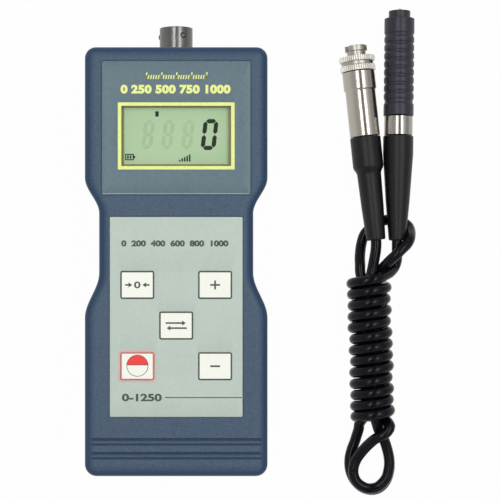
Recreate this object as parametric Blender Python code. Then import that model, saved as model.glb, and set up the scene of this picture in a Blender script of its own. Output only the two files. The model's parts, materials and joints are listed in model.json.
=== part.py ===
"""Handheld coating thickness gauge with its plug-in probe on a wound lead.

The gauge lies on its back. +X is its right-hand side, +Y runs from its foot to its socket and +Z comes out
of its display. The origin is the centre of its back face. Lengths are in metres.
"""

import math

import bmesh
import bpy
from mathutils import Vector

# Fits
GAP = 0.0003
FUSE = 0.0005

# Display window, display label and the case width round them
WINDOW_WIDTH = 0.0410
WINDOW_HEIGHT = 0.0223
WINDOW_HEAD_MARGIN = 0.0169
WINDOW_FOOT_MARGIN = 0.0108
WINDOW_SIDE_MARGIN = 0.0074
HEAD_SIDE_MARGIN = 0.0066
HEAD_MARGIN = 0.0057

# Keys, keypad label and the waist round them
KEY_WIDTH = 0.0126
KEY_HEIGHT = 0.0104
KEY_CORNER = 0.0007
KEY_THICKNESS = 0.0011
KEY_TRAVEL = 0.0004
KEY_COLUMN = 0.0146
KEY_ROW_PITCH = 0.01525
KEYPAD_HEAD_MARGIN = 0.0255
KEYPAD_FOOT_MARGIN = 0.0190
KEYPAD_SIDE_MARGIN = 0.0040
WAIST_SIDE_MARGIN = 0.0042
LABEL_SPACING = 0.0085
FOOT_MARGIN = 0.0228
STEM_DIAMETER = 0.0044

# Case shells
WALL = 0.0022
FACE_WALL = 0.0020
LABEL_RECESS = 0.0008
LABEL_THICKNESS = 0.0004
LABEL_CORNER = 0.0004
KEY_POCKET = 0.0010
HEAD_LENGTH = 0.0492
HEAD_EASE = 0.0137
WAIST_LENGTH = 0.0221
FOOT_EASE = 0.0174
HEAD_CORNER = 0.0042
FOOT_CORNER = 0.0045
FRONT_ROUND_WIDTH = 0.0050
FRONT_ROUND_DEPTH = 0.0040
BACK_ROUND = 0.0025
GROOVE_DEPTH = 0.0009
GROOVE_WIDTH = 0.0029
GROOVE_PITCH = 0.0052
GROOVE_FOOT_MARGIN = 0.0097
GROOVE_SIDE_MARGIN = 0.0030

# Display
LENS_THICKNESS = 0.0006
LENS_LEDGE = 0.0015
LCD_THICKNESS = 0.0020
LCD_OVERLAP = 0.0030
HOLDER_WALL = 0.0016

# Main board
BOARD_THICKNESS = 0.0016
BOARD_SIDE_MARGIN = 0.0024
BOARD_HEAD_MARGIN = 0.0010
BOARD_TO_FACE = 0.0076
BOARD_TO_BAY = 0.0048
BOARD_KEY_MARGIN = 0.0120
BOARD_POST_DIAMETER = 0.0040
BOARD_POST_INSET = 0.0045
SWITCH_SIZE = 0.0060
SWITCH_HEIGHT = 0.0035
PLUNGER_DIAMETER = 0.0034
PLUNGER_HEIGHT = 0.0012
CHIP_SIZE = 0.0120
CHIP_HEIGHT = 0.0018

# Cells and their bay
CELL_COUNT = 4
CELL_DIAMETER = 0.0105
CELL_LENGTH = 0.0445
NUB_DIAMETER = 0.0038
NUB_HEIGHT = 0.0010
CELL_SPACING = 0.0004
CONTACT_SPACE = 0.0042
CONTACT_THICKNESS = 0.0004
CONTACT_WIDTH = 0.0070
SPRING_WIRE = 0.0007
SPRING_DIAMETER = 0.0056
CONTACT_TURNS = 3
BAY_WALL = 0.0015
BAY_FOOT_MARGIN = 0.0027
COVER_THICKNESS = 0.0020
COVER_TONGUE = 0.0013
COVER_TONGUE_THICKNESS = 0.0010
COVER_SIDE_MARGIN = 0.0006
THUMB_GROOVES = 5
THUMB_PITCH = 0.0024
THUMB_WIDTH = 0.0150

# Case screws
SCREW_DIAMETER = 0.0022
SCREW_LENGTH = 0.0140
SCREW_HEAD_DIAMETER = 0.0044
SCREW_HEAD_HEIGHT = 0.0018
SCREW_BORE_DEPTH = 0.0055
BOSS_WALL = 0.0009
SCREW_HEAD_END_MARGIN = 0.0070
SCREW_WAIST_MARGIN = 0.0036

# Socket
SOCKET_DIAMETER = 0.0127
SOCKET_BORE = 0.0104
SOCKET_STAND = 0.0089
SOCKET_FLANGE = 0.0162
SOCKET_FLANGE_THICKNESS = 0.0018
SOCKET_TAIL = 0.0060
SOCKET_RIB = 0.0018
SOCKET_RIB_WIDTH = 0.0240
LUG_DIAMETER = 0.0018
LUG_PROUD = 0.00046
LUG_REACH = 0.0009
LUG_STAND = 0.0055
LUG_ANGLES = (25.0, 145.0, 265.0)
SOCKET_CONTACT_DIAMETER = 0.0013
SOCKET_CONTACT_CIRCLE = 0.0044
SOCKET_INSERT_DEPTH = 0.0094

# Probe, laid beside the gauge on its grip and on the lead under its boot
PROBE_END = (0.08645, 0.0081)
PROBE_END_HEIGHT = 0.0086
PROBE_TURN = 0.88
PROBE_BOOT_END_DIAMETER = 0.0062
PROBE_BOOT_DIAMETER = 0.01175
PROBE_BOOT_TAPER = 0.0336
PROBE_BOOT_STRAIGHT = 0.0073
PROBE_RING_DIAMETER = 0.01105
PROBE_RING_LENGTH = 0.0074
SPIGOT_DIAMETER = 0.0074
GRIP_DIAMETER = 0.0117
GRIP_FOOT_BAND = 0.00495
GRIP_HEAD_BAND = 0.0057
RIDGE_COUNT = 8
RIDGE_PITCH = 0.0032
RIDGE_END = 0.0026
RIDGE_WIDTH = 0.0004
RIDGE_DEPTH = 0.00038
PROBE_STEPS = 18
SLEEVE_DIAMETER = 0.0084
SLEEVE_PROUD = 0.00295
SLEEVE_COLLAR = 0.0004
SLEEVE_COLLAR_LENGTH = 0.0020
SLEEVE_LENGTH = 0.0140
SLEEVE_FACE = 0.0012
SLEEVE_TRAVEL = 0.0025
GRIP_LIP = 0.0020
TIP_DIAMETER = 0.0020
TIP_PROUD = 0.00124
TIP_LENGTH = 0.0070
PROBE_SPRING_WIRE = 0.0007
PROBE_SPRING_TURNS = 5

# Plug, laid beside the probe
PLUG_END = (0.0782, 0.0083)
PLUG_END_HEIGHT = 0.0085
PLUG_TURN = -5.86
PLUG_BOOT_END_DIAMETER = 0.0070
PLUG_BOOT_NECK_DIAMETER = 0.0094
PLUG_BOOT_DIAMETER = 0.0119
PLUG_BOOT_TAPER = 0.0262
PLUG_BOOT_SHOULDER = 0.0028
PLUG_BOOT_STRAIGHT = 0.0115
BARREL_DIAMETER = 0.01175
BARREL_LENGTH = 0.0182
BARREL_HEAD_DIAMETER = 0.0127
BARREL_HEAD_LENGTH = 0.0072
BARREL_SPIGOT_DIAMETER = 0.0092
BARREL_SPIGOT_LENGTH = 0.0030
KNURL_TEETH = 28
KNURL_DEPTH = 0.00035
KNURL_FOOT_DIAMETER = 0.0137
KNURL_FOOT_LENGTH = 0.0022
KNURL_GROOVE_DIAMETER = 0.0124
KNURL_GROOVE_LENGTH = 0.0015
KNURL_HEAD_DIAMETER = 0.0140
KNURL_HEAD_LENGTH = 0.0020
NECK_DIAMETER = 0.0072
NECK_LENGTH = 0.0022
NOSE_DIAMETER = 0.0086
NOSE_LENGTH = 0.0021
NOSE_BORE = 0.0056
NOSE_SLOTS = 3
NOSE_SLOT = 0.0022
NOSE_SLOT_DEPTH = 0.0006
PLUG_STEPS = 20
PLUG_INSERT_SET_BACK = 0.0016
PIN_COUNT = 4
PIN_DIAMETER = 0.0008
PIN_LENGTH = 0.0012
PIN_CIRCLE = 0.0030

# Lead
CORD_DIAMETER = 0.0041
WINDING_RADIUS = 0.00855
WINDING_HEAD = (0.07525, -0.0062, 0.0086)
WINDING_FOOT = (0.07699, -0.0624, 0.0086)

# Worked out from the sizes above
WINDOW_LABEL_WIDTH = WINDOW_WIDTH + 2 * WINDOW_SIDE_MARGIN
WINDOW_LABEL_LENGTH = WINDOW_HEAD_MARGIN + WINDOW_HEIGHT + WINDOW_FOOT_MARGIN
KEYPAD_WIDTH = 2 * (KEY_COLUMN + KEY_WIDTH / 2 + KEYPAD_SIDE_MARGIN)
KEYPAD_LENGTH = KEYPAD_HEAD_MARGIN + 2 * KEY_ROW_PITCH + KEYPAD_FOOT_MARGIN
CASE_LENGTH = HEAD_MARGIN + WINDOW_LABEL_LENGTH + LABEL_SPACING + KEYPAD_LENGTH + FOOT_MARGIN
HALF_LENGTH = CASE_LENGTH / 2
HALF_WIDTH = WINDOW_LABEL_WIDTH / 2 + HEAD_SIDE_MARGIN
HALF_WAIST = KEYPAD_WIDTH / 2 + WAIST_SIDE_MARGIN

# Heights above the back face
COVER_BACK = GAP
COVER_INSIDE = COVER_BACK + COVER_THICKNESS
CELL_BOTTOM = COVER_INSIDE + 2 * GAP
CELL_AXIS = CELL_BOTTOM + CELL_DIAMETER / 2
BAY_CEILING = CELL_BOTTOM + CELL_DIAMETER + GAP
BAY_TOP = BAY_CEILING + BAY_WALL
BOARD_BACK = BAY_TOP + BOARD_TO_BAY
BOARD_FRONT = BOARD_BACK + BOARD_THICKNESS
INNER_FACE = BOARD_FRONT + BOARD_TO_FACE
RECESS_FLOOR = INNER_FACE + FACE_WALL
CASE_DEPTH = RECESS_FLOOR + LABEL_RECESS
PARTING = CASE_DEPTH / 2
REAR_SEAM = PARTING - GAP / 2
FRONT_SEAM = PARTING + GAP / 2
SWITCH_TOP = BOARD_FRONT + GAP + SWITCH_HEIGHT + PLUNGER_HEIGHT
POCKET_FLOOR = RECESS_FLOOR - KEY_POCKET
KEY_UNDERSIDE = POCKET_FLOOR + KEY_TRAVEL + GAP
KEY_TOP = KEY_UNDERSIDE + KEY_THICKNESS

# Places along the gauge
WINDOW_LABEL_HEAD = HALF_LENGTH - HEAD_MARGIN
WINDOW_LABEL_FOOT = WINDOW_LABEL_HEAD - WINDOW_LABEL_LENGTH
WINDOW_MIDDLE = WINDOW_LABEL_HEAD - WINDOW_HEAD_MARGIN - WINDOW_HEIGHT / 2
KEYPAD_HEAD = WINDOW_LABEL_FOOT - LABEL_SPACING
KEY_ROWS = [KEYPAD_HEAD - KEYPAD_HEAD_MARGIN - row * KEY_ROW_PITCH for row in range(3)]
KEY_PLACES = {
    "key_zero": (-KEY_COLUMN, KEY_ROWS[0]),
    "key_plus": (KEY_COLUMN, KEY_ROWS[0]),
    "key_unit": (0.0, KEY_ROWS[1]),
    "key_power": (-KEY_COLUMN, KEY_ROWS[2]),
    "key_minus": (KEY_COLUMN, KEY_ROWS[2]),
}
CELL_PITCH = CELL_DIAMETER + CELL_SPACING
CELL_PLACES = [(i - (CELL_COUNT - 1) / 2) * CELL_PITCH for i in range(CELL_COUNT)]
BAY_HALF_WIDTH = CELL_COUNT * CELL_PITCH / 2 + CELL_SPACING
BAY_FOOT = -HALF_LENGTH + BAY_FOOT_MARGIN
BAY_HEAD = BAY_FOOT + CELL_LENGTH + CONTACT_SPACE + CONTACT_THICKNESS + 3 * GAP
COVER_HALF_WIDTH = BAY_HALF_WIDTH + COVER_SIDE_MARGIN
TONGUE_HALF_WIDTH = COVER_HALF_WIDTH + COVER_TONGUE
SCREW_HEAD_BORE = SCREW_HEAD_DIAMETER / 2 + GAP
BOSS_RADIUS = SCREW_HEAD_BORE + BOSS_WALL
BOSS_X = HALF_WIDTH - WALL - BOSS_RADIUS + GAP
SCREW_PLACES = [
    (side * BOSS_X, y)
    for y in (
        HALF_LENGTH - SCREW_HEAD_END_MARGIN,
        HALF_LENGTH - HEAD_LENGTH - HEAD_EASE - WAIST_LENGTH - FOOT_EASE - SCREW_WAIST_MARGIN,
    )
    for side in (-1, 1)
]
BOARD_HALF_WIDTH = HALF_WAIST - WALL - BOARD_SIDE_MARGIN
SOCKET_FLANGE_HEAD = HALF_LENGTH - WALL - GAP
SOCKET_FLANGE_FOOT = SOCKET_FLANGE_HEAD - SOCKET_FLANGE_THICKNESS
SOCKET_TAIL_END = SOCKET_FLANGE_FOOT - SOCKET_TAIL
BOARD_HEAD = SOCKET_TAIL_END - BOARD_HEAD_MARGIN
BOARD_FOOT = KEY_ROWS[2] - BOARD_KEY_MARGIN
POST_PLACES = [
    (side * (BOARD_HALF_WIDTH - BOARD_POST_INSET), y)
    for y in (BOARD_HEAD - BOARD_POST_INSET, BOARD_FOOT + BOARD_POST_INSET)
    for side in (-1, 1)
]


def finish(name, colour, roughness, metallic=0.0, alpha=1.0):
    """A Principled material from a colour in linear values."""
    material = bpy.data.materials.new(name)
    material.use_nodes = True
    shader = material.node_tree.nodes["Principled BSDF"]
    shader.inputs["Base Color"].default_value = (*colour, 1.0)
    shader.inputs["Roughness"].default_value = roughness
    shader.inputs["Metallic"].default_value = metallic
    shader.inputs["Alpha"].default_value = alpha
    return material


def solid(name, mesh, material, axis=None, sharp=35.0):
    """Turns a bmesh into a named object, on the axis of an empty where one is given."""
    bmesh.ops.remove_doubles(mesh, verts=mesh.verts, dist=1e-7)
    bmesh.ops.recalc_face_normals(mesh, faces=mesh.faces)
    data = bpy.data.meshes.new(name)
    mesh.to_mesh(data)
    mesh.free()
    data.shade_smooth()
    data.set_sharp_from_angle(angle=math.radians(sharp))
    if material:
        data.materials.append(material)
    made = bpy.data.objects.new(name, data)
    bpy.context.collection.objects.link(made)
    made.parent = axis
    return made


def helper(made):
    """Marks a cutter or a boss that only shapes another piece."""
    made.hide_render = True
    made.display_type = "WIRE"
    return made


def shape(piece, operation, *tools):
    """Cuts, joins or intersects a piece with each tool in turn."""
    for tool in tools:
        change = piece.modifiers.new(f"{operation.lower()} {tool.name}", "BOOLEAN")
        change.operation = operation
        change.solver = "EXACT"
        change.object = helper(tool)
    return piece


def cut(piece, *tools):
    return shape(piece, "DIFFERENCE", *tools)


def join(piece, *tools):
    return shape(piece, "UNION", *tools)


def extruded(name, outline, low, high, material=None):
    """A flat outline of (x, y) points, raised from low to high."""
    mesh = bmesh.new()
    floor = mesh.faces.new([mesh.verts.new((x, y, low)) for x, y in outline])
    raised = bmesh.ops.extrude_face_region(mesh, geom=[floor])["geom"]
    tops = [item for item in raised if isinstance(item, bmesh.types.BMVert)]
    bmesh.ops.translate(mesh, verts=tops, vec=(0, 0, high - low))
    return solid(name, mesh, material)


def rectangle(x, y, width, height, corner=0.0, steps=3):
    """Outline of a rectangle about (x, y), with round corners where corner isn't 0."""
    if not corner:
        return [(x + i * width / 2, y + j * height / 2) for i, j in ((-1, -1), (1, -1), (1, 1), (-1, 1))]
    outline = []
    for quarter, (i, j) in enumerate(((1, 1), (-1, 1), (-1, -1), (1, -1))):
        centre_x = x + i * (width / 2 - corner)
        centre_y = y + j * (height / 2 - corner)
        for step in range(steps + 1):
            angle = math.radians(90 * (quarter + step / steps))
            outline.append((centre_x + corner * math.cos(angle), centre_y + corner * math.sin(angle)))
    return outline


def block(name, x, y, z, material=None):
    """A box between two values on each axis."""
    middle = ((x[0] + x[1]) / 2, (y[0] + y[1]) / 2)
    return extruded(name, rectangle(*middle, x[1] - x[0], y[1] - y[0]), *z, material)


def turned(name, section, steps, material=None, axis=None):
    """A section of (radius, height) points turned about the local Z axis."""
    mesh = bmesh.new()
    points = [mesh.verts.new((radius, 0, height)) for radius, height in section]
    chain = list(zip(points, points[1:]))
    if section[0][0] > 0 or section[-1][0] > 0:
        chain.append((points[-1], points[0]))
    edges = [mesh.edges.new(pair) for pair in chain]
    about = {"cent": (0, 0, 0), "axis": (0, 0, 1), "angle": math.tau}
    bmesh.ops.spin(mesh, geom=points + edges, steps=steps, use_merge=True, **about)
    return solid(name, mesh, material, axis)


def post(name, x, y, low, high, radius, steps=16, material=None):
    """An upright round post, with a facet towards each side of the gauge."""
    made = turned(name, [(0, low), (radius, low), (radius, high), (0, high)], steps, material)
    made.location = (x, y, 0)
    made.rotation_euler = (0, 0, math.pi / steps)
    return made


def lofted(name, rings, material=None):
    """A body through rings of equal point counts, closed by a face at each end."""
    mesh = bmesh.new()
    loops = [[mesh.verts.new(point) for point in ring] for ring in rings]
    for lower, upper in zip(loops, loops[1:]):
        for i in range(len(lower)):
            j = (i + 1) % len(lower)
            mesh.faces.new((lower[i], lower[j], upper[j], upper[i]))
    mesh.faces.new(loops[0])
    mesh.faces.new(loops[-1])
    return solid(name, mesh, material)


def axis_empty(name, end, height, turn, lift):
    """An empty at a boot's end, with its Z axis along the piece towards the tip or the nose."""
    empty = bpy.data.objects.new(name, None)
    bpy.context.collection.objects.link(empty)
    empty.empty_display_size = 0.01
    empty.location = (*end, height)
    direction = Vector((math.sin(turn) * math.cos(lift), math.cos(turn) * math.cos(lift), -math.sin(lift)))
    empty.rotation_mode = "QUATERNION"
    empty.rotation_quaternion = direction.to_track_quat("Z", "Y")
    return empty, direction


def coil(radius, wire, turns, low, high, steps=8, sides=5):
    """Rings of points for a round wire wound about Z, from low to high."""
    rings = []
    for i in range(turns * steps + 1):
        angle = math.tau * i / steps
        height = low + (high - low) * i / (turns * steps)
        ring = []
        for k in range(sides):
            around = math.tau * k / sides
            reach = radius + wire / 2 * math.cos(around)
            rise = wire / 2 * math.sin(around)
            ring.append((reach * math.cos(angle), reach * math.sin(angle), height + rise))
        rings.append(ring)
    return rings


def ease(start, end, part):
    """A value that leaves start and reaches end with no corner."""
    return start + (end - start) * (1 - math.cos(math.pi * part)) / 2


def case_outline(inset, steps=5):
    """Outline of the case, drawn in by inset: square head, eased waist and a wider foot."""
    side = []
    corner = max(FOOT_CORNER - inset, GAP)
    for step in range(steps):
        angle = math.radians(-90 + 90 * step / (steps - 1))
        x = HALF_WIDTH - inset - corner + corner * math.cos(angle)
        side.append((x, -HALF_LENGTH + inset + corner + corner * math.sin(angle)))
    head = HALF_LENGTH - HEAD_LENGTH
    waist_head = head - HEAD_EASE
    waist_foot = waist_head - WAIST_LENGTH
    foot = waist_foot - FOOT_EASE
    for step in range(steps + 1):
        part = step / steps
        side.append((ease(HALF_WIDTH, HALF_WAIST, part) - inset, foot + FOOT_EASE * part))
    for step in range(steps + 1):
        part = step / steps
        side.append((ease(HALF_WAIST, HALF_WIDTH, part) - inset, waist_head + HEAD_EASE * part))
    corner = max(HEAD_CORNER - inset, GAP)
    for step in range(steps):
        angle = math.radians(90 * step / (steps - 1))
        x = HALF_WIDTH - inset - corner + corner * math.cos(angle)
        side.append((x, HALF_LENGTH - inset - corner + corner * math.sin(angle)))
    return side + [(-x, y) for x, y in reversed(side)]


def case_ring(inset, height):
    return [(x, y, height) for x, y in case_outline(inset)]


def edge_rings(width, depth, face, towards, steps=4):
    """Rings that round the case's edge over to its face, from the flank to the face."""
    rings = []
    for step in range(steps + 1):
        angle = math.radians(90 * step / steps)
        height = face + towards * depth * (math.sin(angle) - 1)
        rings.append(case_ring(width * (1 - math.cos(angle)), height))
    return rings


def back_form(name):
    """The outside of the rear half, as one solid."""
    rings = edge_rings(BACK_ROUND, BACK_ROUND, 0, -1)
    return lofted(name, [case_ring(0, REAR_SEAM)] + rings)


def socket_bed(name, low, high):
    """The rib that traps the socket's flange behind the head wall."""
    head = SOCKET_FLANGE_FOOT - GAP
    half = SOCKET_RIB_WIDTH / 2
    return block(name, (-half, half), (head - SOCKET_RIB, head), (low, high))


def socket_hole(name):
    """The round hole for the socket, shared by both halves of the case."""
    radius = SOCKET_DIAMETER / 2 + GAP
    low = SOCKET_TAIL_END
    section = [(0, low), (radius, low), (radius, HALF_LENGTH + WALL), (0, HALF_LENGTH + WALL)]
    hole = turned(name, section, 24)
    hole.location = (0, 0, PARTING)
    hole.rotation_euler = (math.radians(-90), 0, 0)
    return hole


def foot_groove(name, head):
    """A shallow groove across the face, steep on its head side."""
    half = HALF_WIDTH - GROOVE_SIDE_MARGIN
    foot = head - GROOVE_WIDTH
    section = [(head, CASE_DEPTH + GROOVE_DEPTH), (head, CASE_DEPTH - GROOVE_DEPTH)]
    section += [((head + foot) / 2, CASE_DEPTH - GROOVE_DEPTH + GAP), (foot, CASE_DEPTH + GAP)]
    section.append((foot, CASE_DEPTH + GROOVE_DEPTH))
    return lofted(name, [[(x, y, z) for y, z in section] for x in (-half, half)])


def label_outline(width, head, length, growth=0.0):
    size = (width + 2 * growth, length + 2 * growth)
    return rectangle(0, head - length / 2, *size, LABEL_CORNER + growth)


def front_case(material):
    """The face half of the case, with its recesses, window, key pockets, bosses and foot grooves."""
    outside = [case_ring(0, FRONT_SEAM)]
    outside += edge_rings(FRONT_ROUND_WIDTH, FRONT_ROUND_DEPTH, CASE_DEPTH, 1)
    inside = [case_ring(WALL, FRONT_SEAM)]
    inside += [case_ring(WALL, INNER_FACE - FRONT_ROUND_DEPTH), case_ring(FRONT_ROUND_WIDTH, INNER_FACE)]
    case = lofted("front_case", outside[::-1] + inside, material)

    for i, (x, y) in enumerate(SCREW_PLACES):
        boss = post(f"front_boss_{i}", x, y, FRONT_SEAM + GAP, INNER_FACE + FUSE, BOSS_RADIUS)
        pilot_top = PARTING + SCREW_LENGTH / 2 + GAP
        pilot = post(f"front_pilot_{i}", x, y, 0, pilot_top, SCREW_DIAMETER / 2 + GAP, 12)
        cut(join(case, boss), pilot)
    for i, (x, y) in enumerate(POST_PLACES):
        low = BOARD_FRONT + GAP
        join(case, post(f"front_post_{i}", x, y, low, INNER_FACE + FUSE, BOARD_POST_DIAMETER / 2, 12))
    join(case, socket_bed("front_bed", FRONT_SEAM + GAP, INNER_FACE + FUSE))
    cut(case, socket_hole("front_socket_hole"))

    above = CASE_DEPTH + FUSE
    display = label_outline(WINDOW_LABEL_WIDTH, WINDOW_LABEL_HEAD, WINDOW_LABEL_LENGTH, GAP)
    keypad = label_outline(KEYPAD_WIDTH, KEYPAD_HEAD, KEYPAD_LENGTH, GAP)
    cut(case, extruded("display_recess", display, RECESS_FLOOR, above))
    cut(case, extruded("keypad_recess", keypad, RECESS_FLOOR, above))
    seat = rectangle(0, WINDOW_MIDDLE, *lens_size(GAP))
    cut(case, extruded("lens_seat", seat, RECESS_FLOOR - LENS_THICKNESS - GAP, above))
    opening = rectangle(0, WINDOW_MIDDLE, WINDOW_WIDTH + LENS_LEDGE, WINDOW_HEIGHT + LENS_LEDGE)
    cut(case, extruded("window_opening", opening, INNER_FACE - FUSE, above))
    for name, (x, y) in KEY_PLACES.items():
        pocket = rectangle(x, y, KEY_WIDTH + 2 * GAP, KEY_HEIGHT + 2 * GAP)
        cut(case, extruded(f"{name}_pocket", pocket, POCKET_FLOOR, above))
        cut(case, post(f"{name}_hole", x, y, INNER_FACE - FUSE, above, STEM_DIAMETER / 2 + GAP, 12))
    groove_head = -HALF_LENGTH + GROOVE_FOOT_MARGIN
    for i in range(2):
        cut(case, foot_groove(f"foot_groove_{i}", groove_head + i * GROOVE_PITCH))
    return case


def rear_case(material):
    """The back half of the case, with its battery bay, bosses and the slot for the cover."""
    outside = [case_ring(0, REAR_SEAM)] + edge_rings(BACK_ROUND, BACK_ROUND, 0, -1)
    inside = [case_ring(WALL, REAR_SEAM), case_ring(WALL, WALL + BACK_ROUND)]
    inside += [case_ring(WALL + BACK_ROUND, WALL)]
    case = lofted("rear_case", outside[::-1] + inside, material)

    bay_half = TONGUE_HALF_WIDTH + GAP + BAY_WALL
    bay_y = (-HALF_LENGTH + WALL - FUSE, BAY_HEAD + BAY_WALL)
    join(case, block("bay_block", (-bay_half, bay_half), bay_y, (WALL - FUSE, BAY_TOP)))
    for i, (x, y) in enumerate(SCREW_PLACES):
        boss = post(f"rear_boss_{i}", x, y, WALL - FUSE, REAR_SEAM - GAP, BOSS_RADIUS)
        bore = post(f"rear_bore_{i}", x, y, -FUSE, SCREW_BORE_DEPTH, SCREW_HEAD_BORE)
        hole = post(f"rear_hole_{i}", x, y, -FUSE, PARTING + GAP, SCREW_DIAMETER / 2 + 2 * GAP, 12)
        cut(join(case, boss), bore, hole)
    for i, (x, y) in enumerate(POST_PLACES):
        low = WALL if y > BAY_HEAD + BAY_WALL else BAY_TOP
        high = BOARD_BACK - GAP
        join(case, post(f"rear_post_{i}", x, y, low - FUSE, high, BOARD_POST_DIAMETER / 2, 12))
    join(case, socket_bed("rear_bed", WALL - FUSE, REAR_SEAM - GAP))
    cut(case, socket_hole("rear_socket_hole"))

    bay = (-BAY_HALF_WIDTH, BAY_HALF_WIDTH)
    cut(case, block("bay_room", bay, (BAY_FOOT, BAY_HEAD), (COVER_INSIDE, BAY_CEILING)))
    slot = COVER_HALF_WIDTH + GAP
    slot_y = (-HALF_LENGTH - WALL, BAY_HEAD + GAP)
    slot_top = COVER_INSIDE + GAP
    cut(case, block("cover_slot", (-slot, slot), slot_y, (-FUSE, slot_top)))
    groove = TONGUE_HALF_WIDTH + GAP
    groove_low = COVER_INSIDE - COVER_TONGUE_THICKNESS - GAP
    cut(case, block("cover_groove", (-groove, groove), slot_y, (groove_low, slot_top)))
    return case


def battery_cover(material):
    """The sliding cover, flush with the back and rounded like it at the foot."""
    narrow = COVER_HALF_WIDTH
    wide = TONGUE_HALF_WIDTH
    step = COVER_INSIDE - COVER_TONGUE_THICKNESS
    section = [(-narrow, COVER_BACK), (narrow, COVER_BACK), (narrow, step), (wide, step)]
    section += [(wide, COVER_INSIDE), (-wide, COVER_INSIDE), (-wide, step), (-narrow, step)]
    ends = (-HALF_LENGTH - WALL, BAY_HEAD)
    cover = lofted("battery_cover", [[(x, y, z) for x, z in section] for y in ends], material)
    shape(cover, "INTERSECT", back_form("back_form"))
    for i in range(THUMB_GROOVES):
        y = BAY_HEAD - (i + 2) * THUMB_PITCH
        lip = (y - THUMB_PITCH / 4, y + THUMB_PITCH / 4)
        reach = THUMB_WIDTH / 2 * (1 - i / (2 * THUMB_GROOVES))
        cut(cover, block(f"thumb_groove_{i}", (-reach, reach), lip, (0, COVER_BACK + COVER_THICKNESS / 3)))
    return cover


def lens_size(growth):
    ledge = 2 * LENS_LEDGE + 2 * growth
    return WINDOW_WIDTH + ledge, WINDOW_HEIGHT + ledge


def display(film, clear, glass, black):
    """The label with its window, the lens on its ledge, and the display glass in its holder."""
    low = RECESS_FLOOR + GAP
    outline = label_outline(WINDOW_LABEL_WIDTH, WINDOW_LABEL_HEAD, WINDOW_LABEL_LENGTH)
    label = extruded("display_label", outline, low, low + LABEL_THICKNESS, film)
    window = rectangle(0, WINDOW_MIDDLE, WINDOW_WIDTH, WINDOW_HEIGHT)
    cut(label, extruded("label_window", window, RECESS_FLOOR, CASE_DEPTH + FUSE))
    lens = rectangle(0, WINDOW_MIDDLE, *lens_size(0))
    extruded("display_lens", lens, RECESS_FLOOR - LENS_THICKNESS, RECESS_FLOOR, clear)
    size = (WINDOW_WIDTH + 2 * LCD_OVERLAP, WINDOW_HEIGHT + 2 * LCD_OVERLAP)
    lcd_top = INNER_FACE - GAP
    lcd_low = lcd_top - LCD_THICKNESS
    extruded("lcd_panel", rectangle(0, WINDOW_MIDDLE, *size), lcd_low, lcd_top, glass)
    frame = rectangle(0, WINDOW_MIDDLE, *size)
    room = rectangle(0, WINDOW_MIDDLE, size[0] - 2 * HOLDER_WALL, size[1] - 2 * HOLDER_WALL)
    holder = extruded("lcd_holder", frame, BOARD_FRONT + GAP, lcd_low - GAP, black)
    cut(holder, extruded("holder_room", room, BOARD_FRONT, lcd_low))


def keypad(film, white, black):
    """The printed sheet, and five keys whose stems stand over their switches."""
    low = RECESS_FLOOR + GAP
    outline = label_outline(KEYPAD_WIDTH, KEYPAD_HEAD, KEYPAD_LENGTH)
    label = extruded("keypad_label", outline, low, low + LABEL_THICKNESS, film)
    for name, (x, y) in KEY_PLACES.items():
        room = rectangle(x, y, KEY_WIDTH + 2 * GAP, KEY_HEIGHT + 2 * GAP, KEY_CORNER + GAP)
        cut(label, extruded(f"{name}_window", room, RECESS_FLOOR, CASE_DEPTH + FUSE))
        outline = rectangle(x, y, KEY_WIDTH, KEY_HEIGHT, KEY_CORNER)
        cap = extruded(name, outline, KEY_UNDERSIDE, KEY_TOP, white)
        stem_low = SWITCH_TOP + KEY_TRAVEL + GAP
        join(cap, post(f"{name}_stem", x, y, stem_low, KEY_UNDERSIDE + FUSE, STEM_DIAMETER / 2, 12))
        body = rectangle(x, y, SWITCH_SIZE, SWITCH_SIZE)
        bottom = BOARD_FRONT + GAP
        switch = extruded(name.replace("key", "switch"), body, bottom, bottom + SWITCH_HEIGHT, black)
        plunger_low = bottom + SWITCH_HEIGHT - FUSE
        join(switch, post(f"{name}_plunger", x, y, plunger_low, SWITCH_TOP, PLUNGER_DIAMETER / 2, 12))


def board(green, black):
    """The main board between its posts, and the processor behind the display."""
    outline = rectangle(0, (BOARD_HEAD + BOARD_FOOT) / 2, 2 * BOARD_HALF_WIDTH, BOARD_HEAD - BOARD_FOOT)
    extruded("main_board", outline, BOARD_BACK, BOARD_FRONT, green)
    chip_high = BOARD_BACK - GAP
    body = rectangle(0, WINDOW_MIDDLE, CHIP_SIZE, CHIP_SIZE, CHIP_SIZE / 12, 1)
    extruded("processor_chip", body, chip_high - CHIP_HEIGHT, chip_high, black)


def along_gauge(piece, x, y, z, way):
    """Lays a turned piece along the gauge, its local Z towards the head (1) or the foot (-1)."""
    piece.location = (x, y, z)
    piece.rotation_euler = (math.radians(-90 * way), 0, 0)
    return piece


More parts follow.
